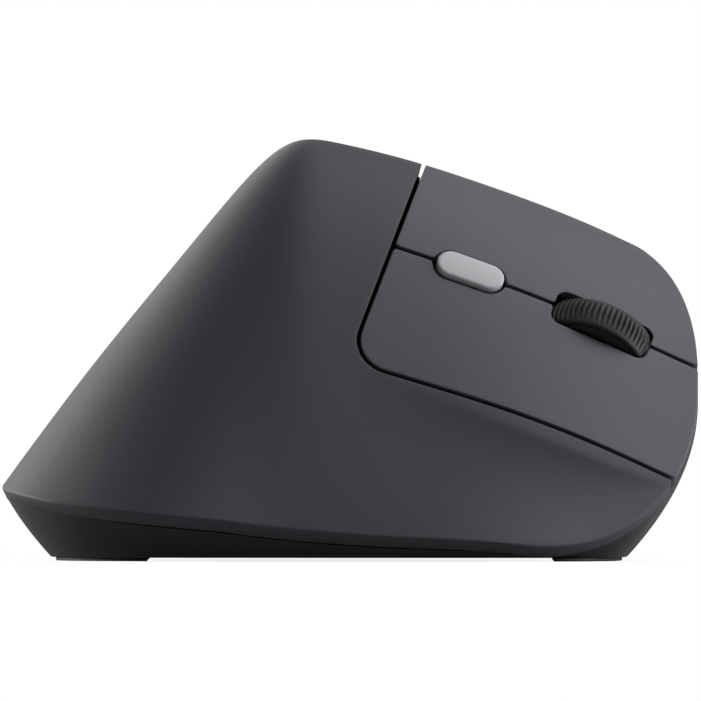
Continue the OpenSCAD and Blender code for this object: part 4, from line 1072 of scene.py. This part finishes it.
newPieces = {"main_shell": shell, "thumb_cover": thumbSide, "left_key_cover": leftKey,
             "right_key_cover": rightKey, "speed_button": speedCap, "forward_button": forwardCap,
             "back_button": backCap, "base_case": base, "wheel_tyre": wheelTyre, **eased}
for node, piece in newPieces.items():
    piece.data.materials.clear()
    piece.data.materials.append(finishes[slotOf[node]])
for node, carried in frame["nodes"].items():
    if node in newPieces:
        continue
    if not carried.material_slots:
        carried.data.materials.append(finishes[slotOf[node]])
    for place in carried.material_slots:
        place.material = finishes[slotOf[node]]
print("finishes:", len(finishes))

# Stage: a pale floor with painted shade in a ring round the object, a white surround, and soft lamps
stage = {"floor": 16.0, "white": 1.0, "fill": 0.04, "near": 0.82, "nearTo": 0.02, "farFrom": 0.068,
         "sheen": 0.25}


def backgroundRays(at):
    # full for what the camera and clear pieces see, less in a sheen
    seen, shiny, clear = [at.node("LightPath", None, None, way)
                          for way in ("Is Camera Ray", "Is Glossy Ray", "Is Transmission Ray")]
    return at.math("MINIMUM", seen + clear + shiny * stage["sheen"], 1.0)


def paleFloor():
    bpy.ops.object.select_all(action="DESELECT")
    bpy.ops.mesh.primitive_plane_add(size=stage["floor"], location=(0, 0, -0.00005))
    floor = bpy.context.object
    floor.name = "paleFloor"
    material, at = newFinish("floorPaper")
    grain = noise(at, 3.0, 3.0)
    paperTone = mixTone(at, grain, (0.33, 0.33, 0.34, 1), (0.36, 0.36, 0.37, 1))
    paper = at.node("BsdfDiffuse", None, {"Color": paperTone})
    glow = at.node("Emission", None, {"Color": (1, 1, 1, 1), "Strength": stage["white"]})
    # painted shade: close to the object the floor shows a share of grey paper, a darker ring that stands for
    # the object's shadow; the real shadow also falls within that share
    far = at.node("VectorMath", {"operation": "LENGTH"}, {0: at}, 1)
    paintedShadeRing = at.node("MapRange", {"interpolation_type": "SMOOTHSTEP"},
                   {"Value": far, "From Min": stage["nearTo"], "From Max": stage["farFrom"],
                    "To Min": stage["near"], "To Max": 1.0})
    surface = at.node("MixShader", None, {0: backgroundRays(at) * paintedShadeRing, 1: paper, 2: glow})
    out = at.tree.nodes.new("ShaderNodeOutputMaterial")
    at.tree.links.new(surface.socket, out.inputs["Surface"])
    floor.data.materials.append(material)


def whiteWorld():
    world = bpy.data.worlds.new("studio")
    bpy.context.scene.world = world
    world.use_nodes = True
    tree = world.node_tree
    tree.nodes.clear()
    at = Wire(tree, None)
    level = backgroundRays(at) * (stage["white"] - stage["fill"]) + stage["fill"]
    glow = at.node("Background", None, {"Color": (1, 1, 1, 1), "Strength": level})
    out = tree.nodes.new("ShaderNodeOutputWorld")
    tree.links.new(glow.socket, out.inputs["Surface"])


lamps = [
    {"name": "overhead", "at": (0.08, 0.43, 0.93), "aim": (0, 0, 0.035), "size": 0.85, "power": 7.6},
    {"name": "noseLow", "at": (0.0, 0.99, 0.17), "aim": (0, 0, 0.035), "size": 0.55, "power": 9.8},
    {"name": "heelLow", "at": (-0.50, -0.86, 0.17), "aim": (0, 0, 0.035), "size": 0.55, "power": 10.0},
    {"name": "thumbBack", "at": (-0.71, -0.41, 0.61), "aim": (0, 0, 0.035), "size": 0.55, "power": 3.6},
]


def softLamp(lamp):
    data = bpy.data.lights.new(lamp["name"], "AREA")
    data.shape = "DISK"
    data.size = lamp["size"]
    data.energy = lamp["power"]
    made = bpy.data.objects.new(lamp["name"], data)
    bpy.context.collection.objects.link(made)
    made.location = lamp["at"]
    made.rotation_euler = (Vector(lamp["aim"]) - Vector(lamp["at"])).to_track_quat("-Z", "Y").to_euler()


view = {"aim": (0.008, 0.0, 0.03596), "away": 5.0, "wide": 0.12003, "rise": 0.0}


def photoCamera():
    data = bpy.data.cameras.new("photoCamera")
    rise = math.radians(view["rise"])
    data.sensor_width = 36.0
    data.lens = 36.0 * view["away"] / view["wide"]
    data.clip_start = 0.05
    made = bpy.data.objects.new("photoCamera", data)
    bpy.context.collection.objects.link(made)
    aim = Vector(view["aim"])
    made.location = aim + view["away"] * Vector((math.cos(rise), 0, math.sin(rise)))
    made.rotation_euler = (aim - made.location).to_track_quat("-Z", "Y").to_euler()
    bpy.context.scene.camera = made


paleFloor()
whiteWorld()
for lamp in lamps:
    softLamp(lamp)
photoCamera()
print("stage set")
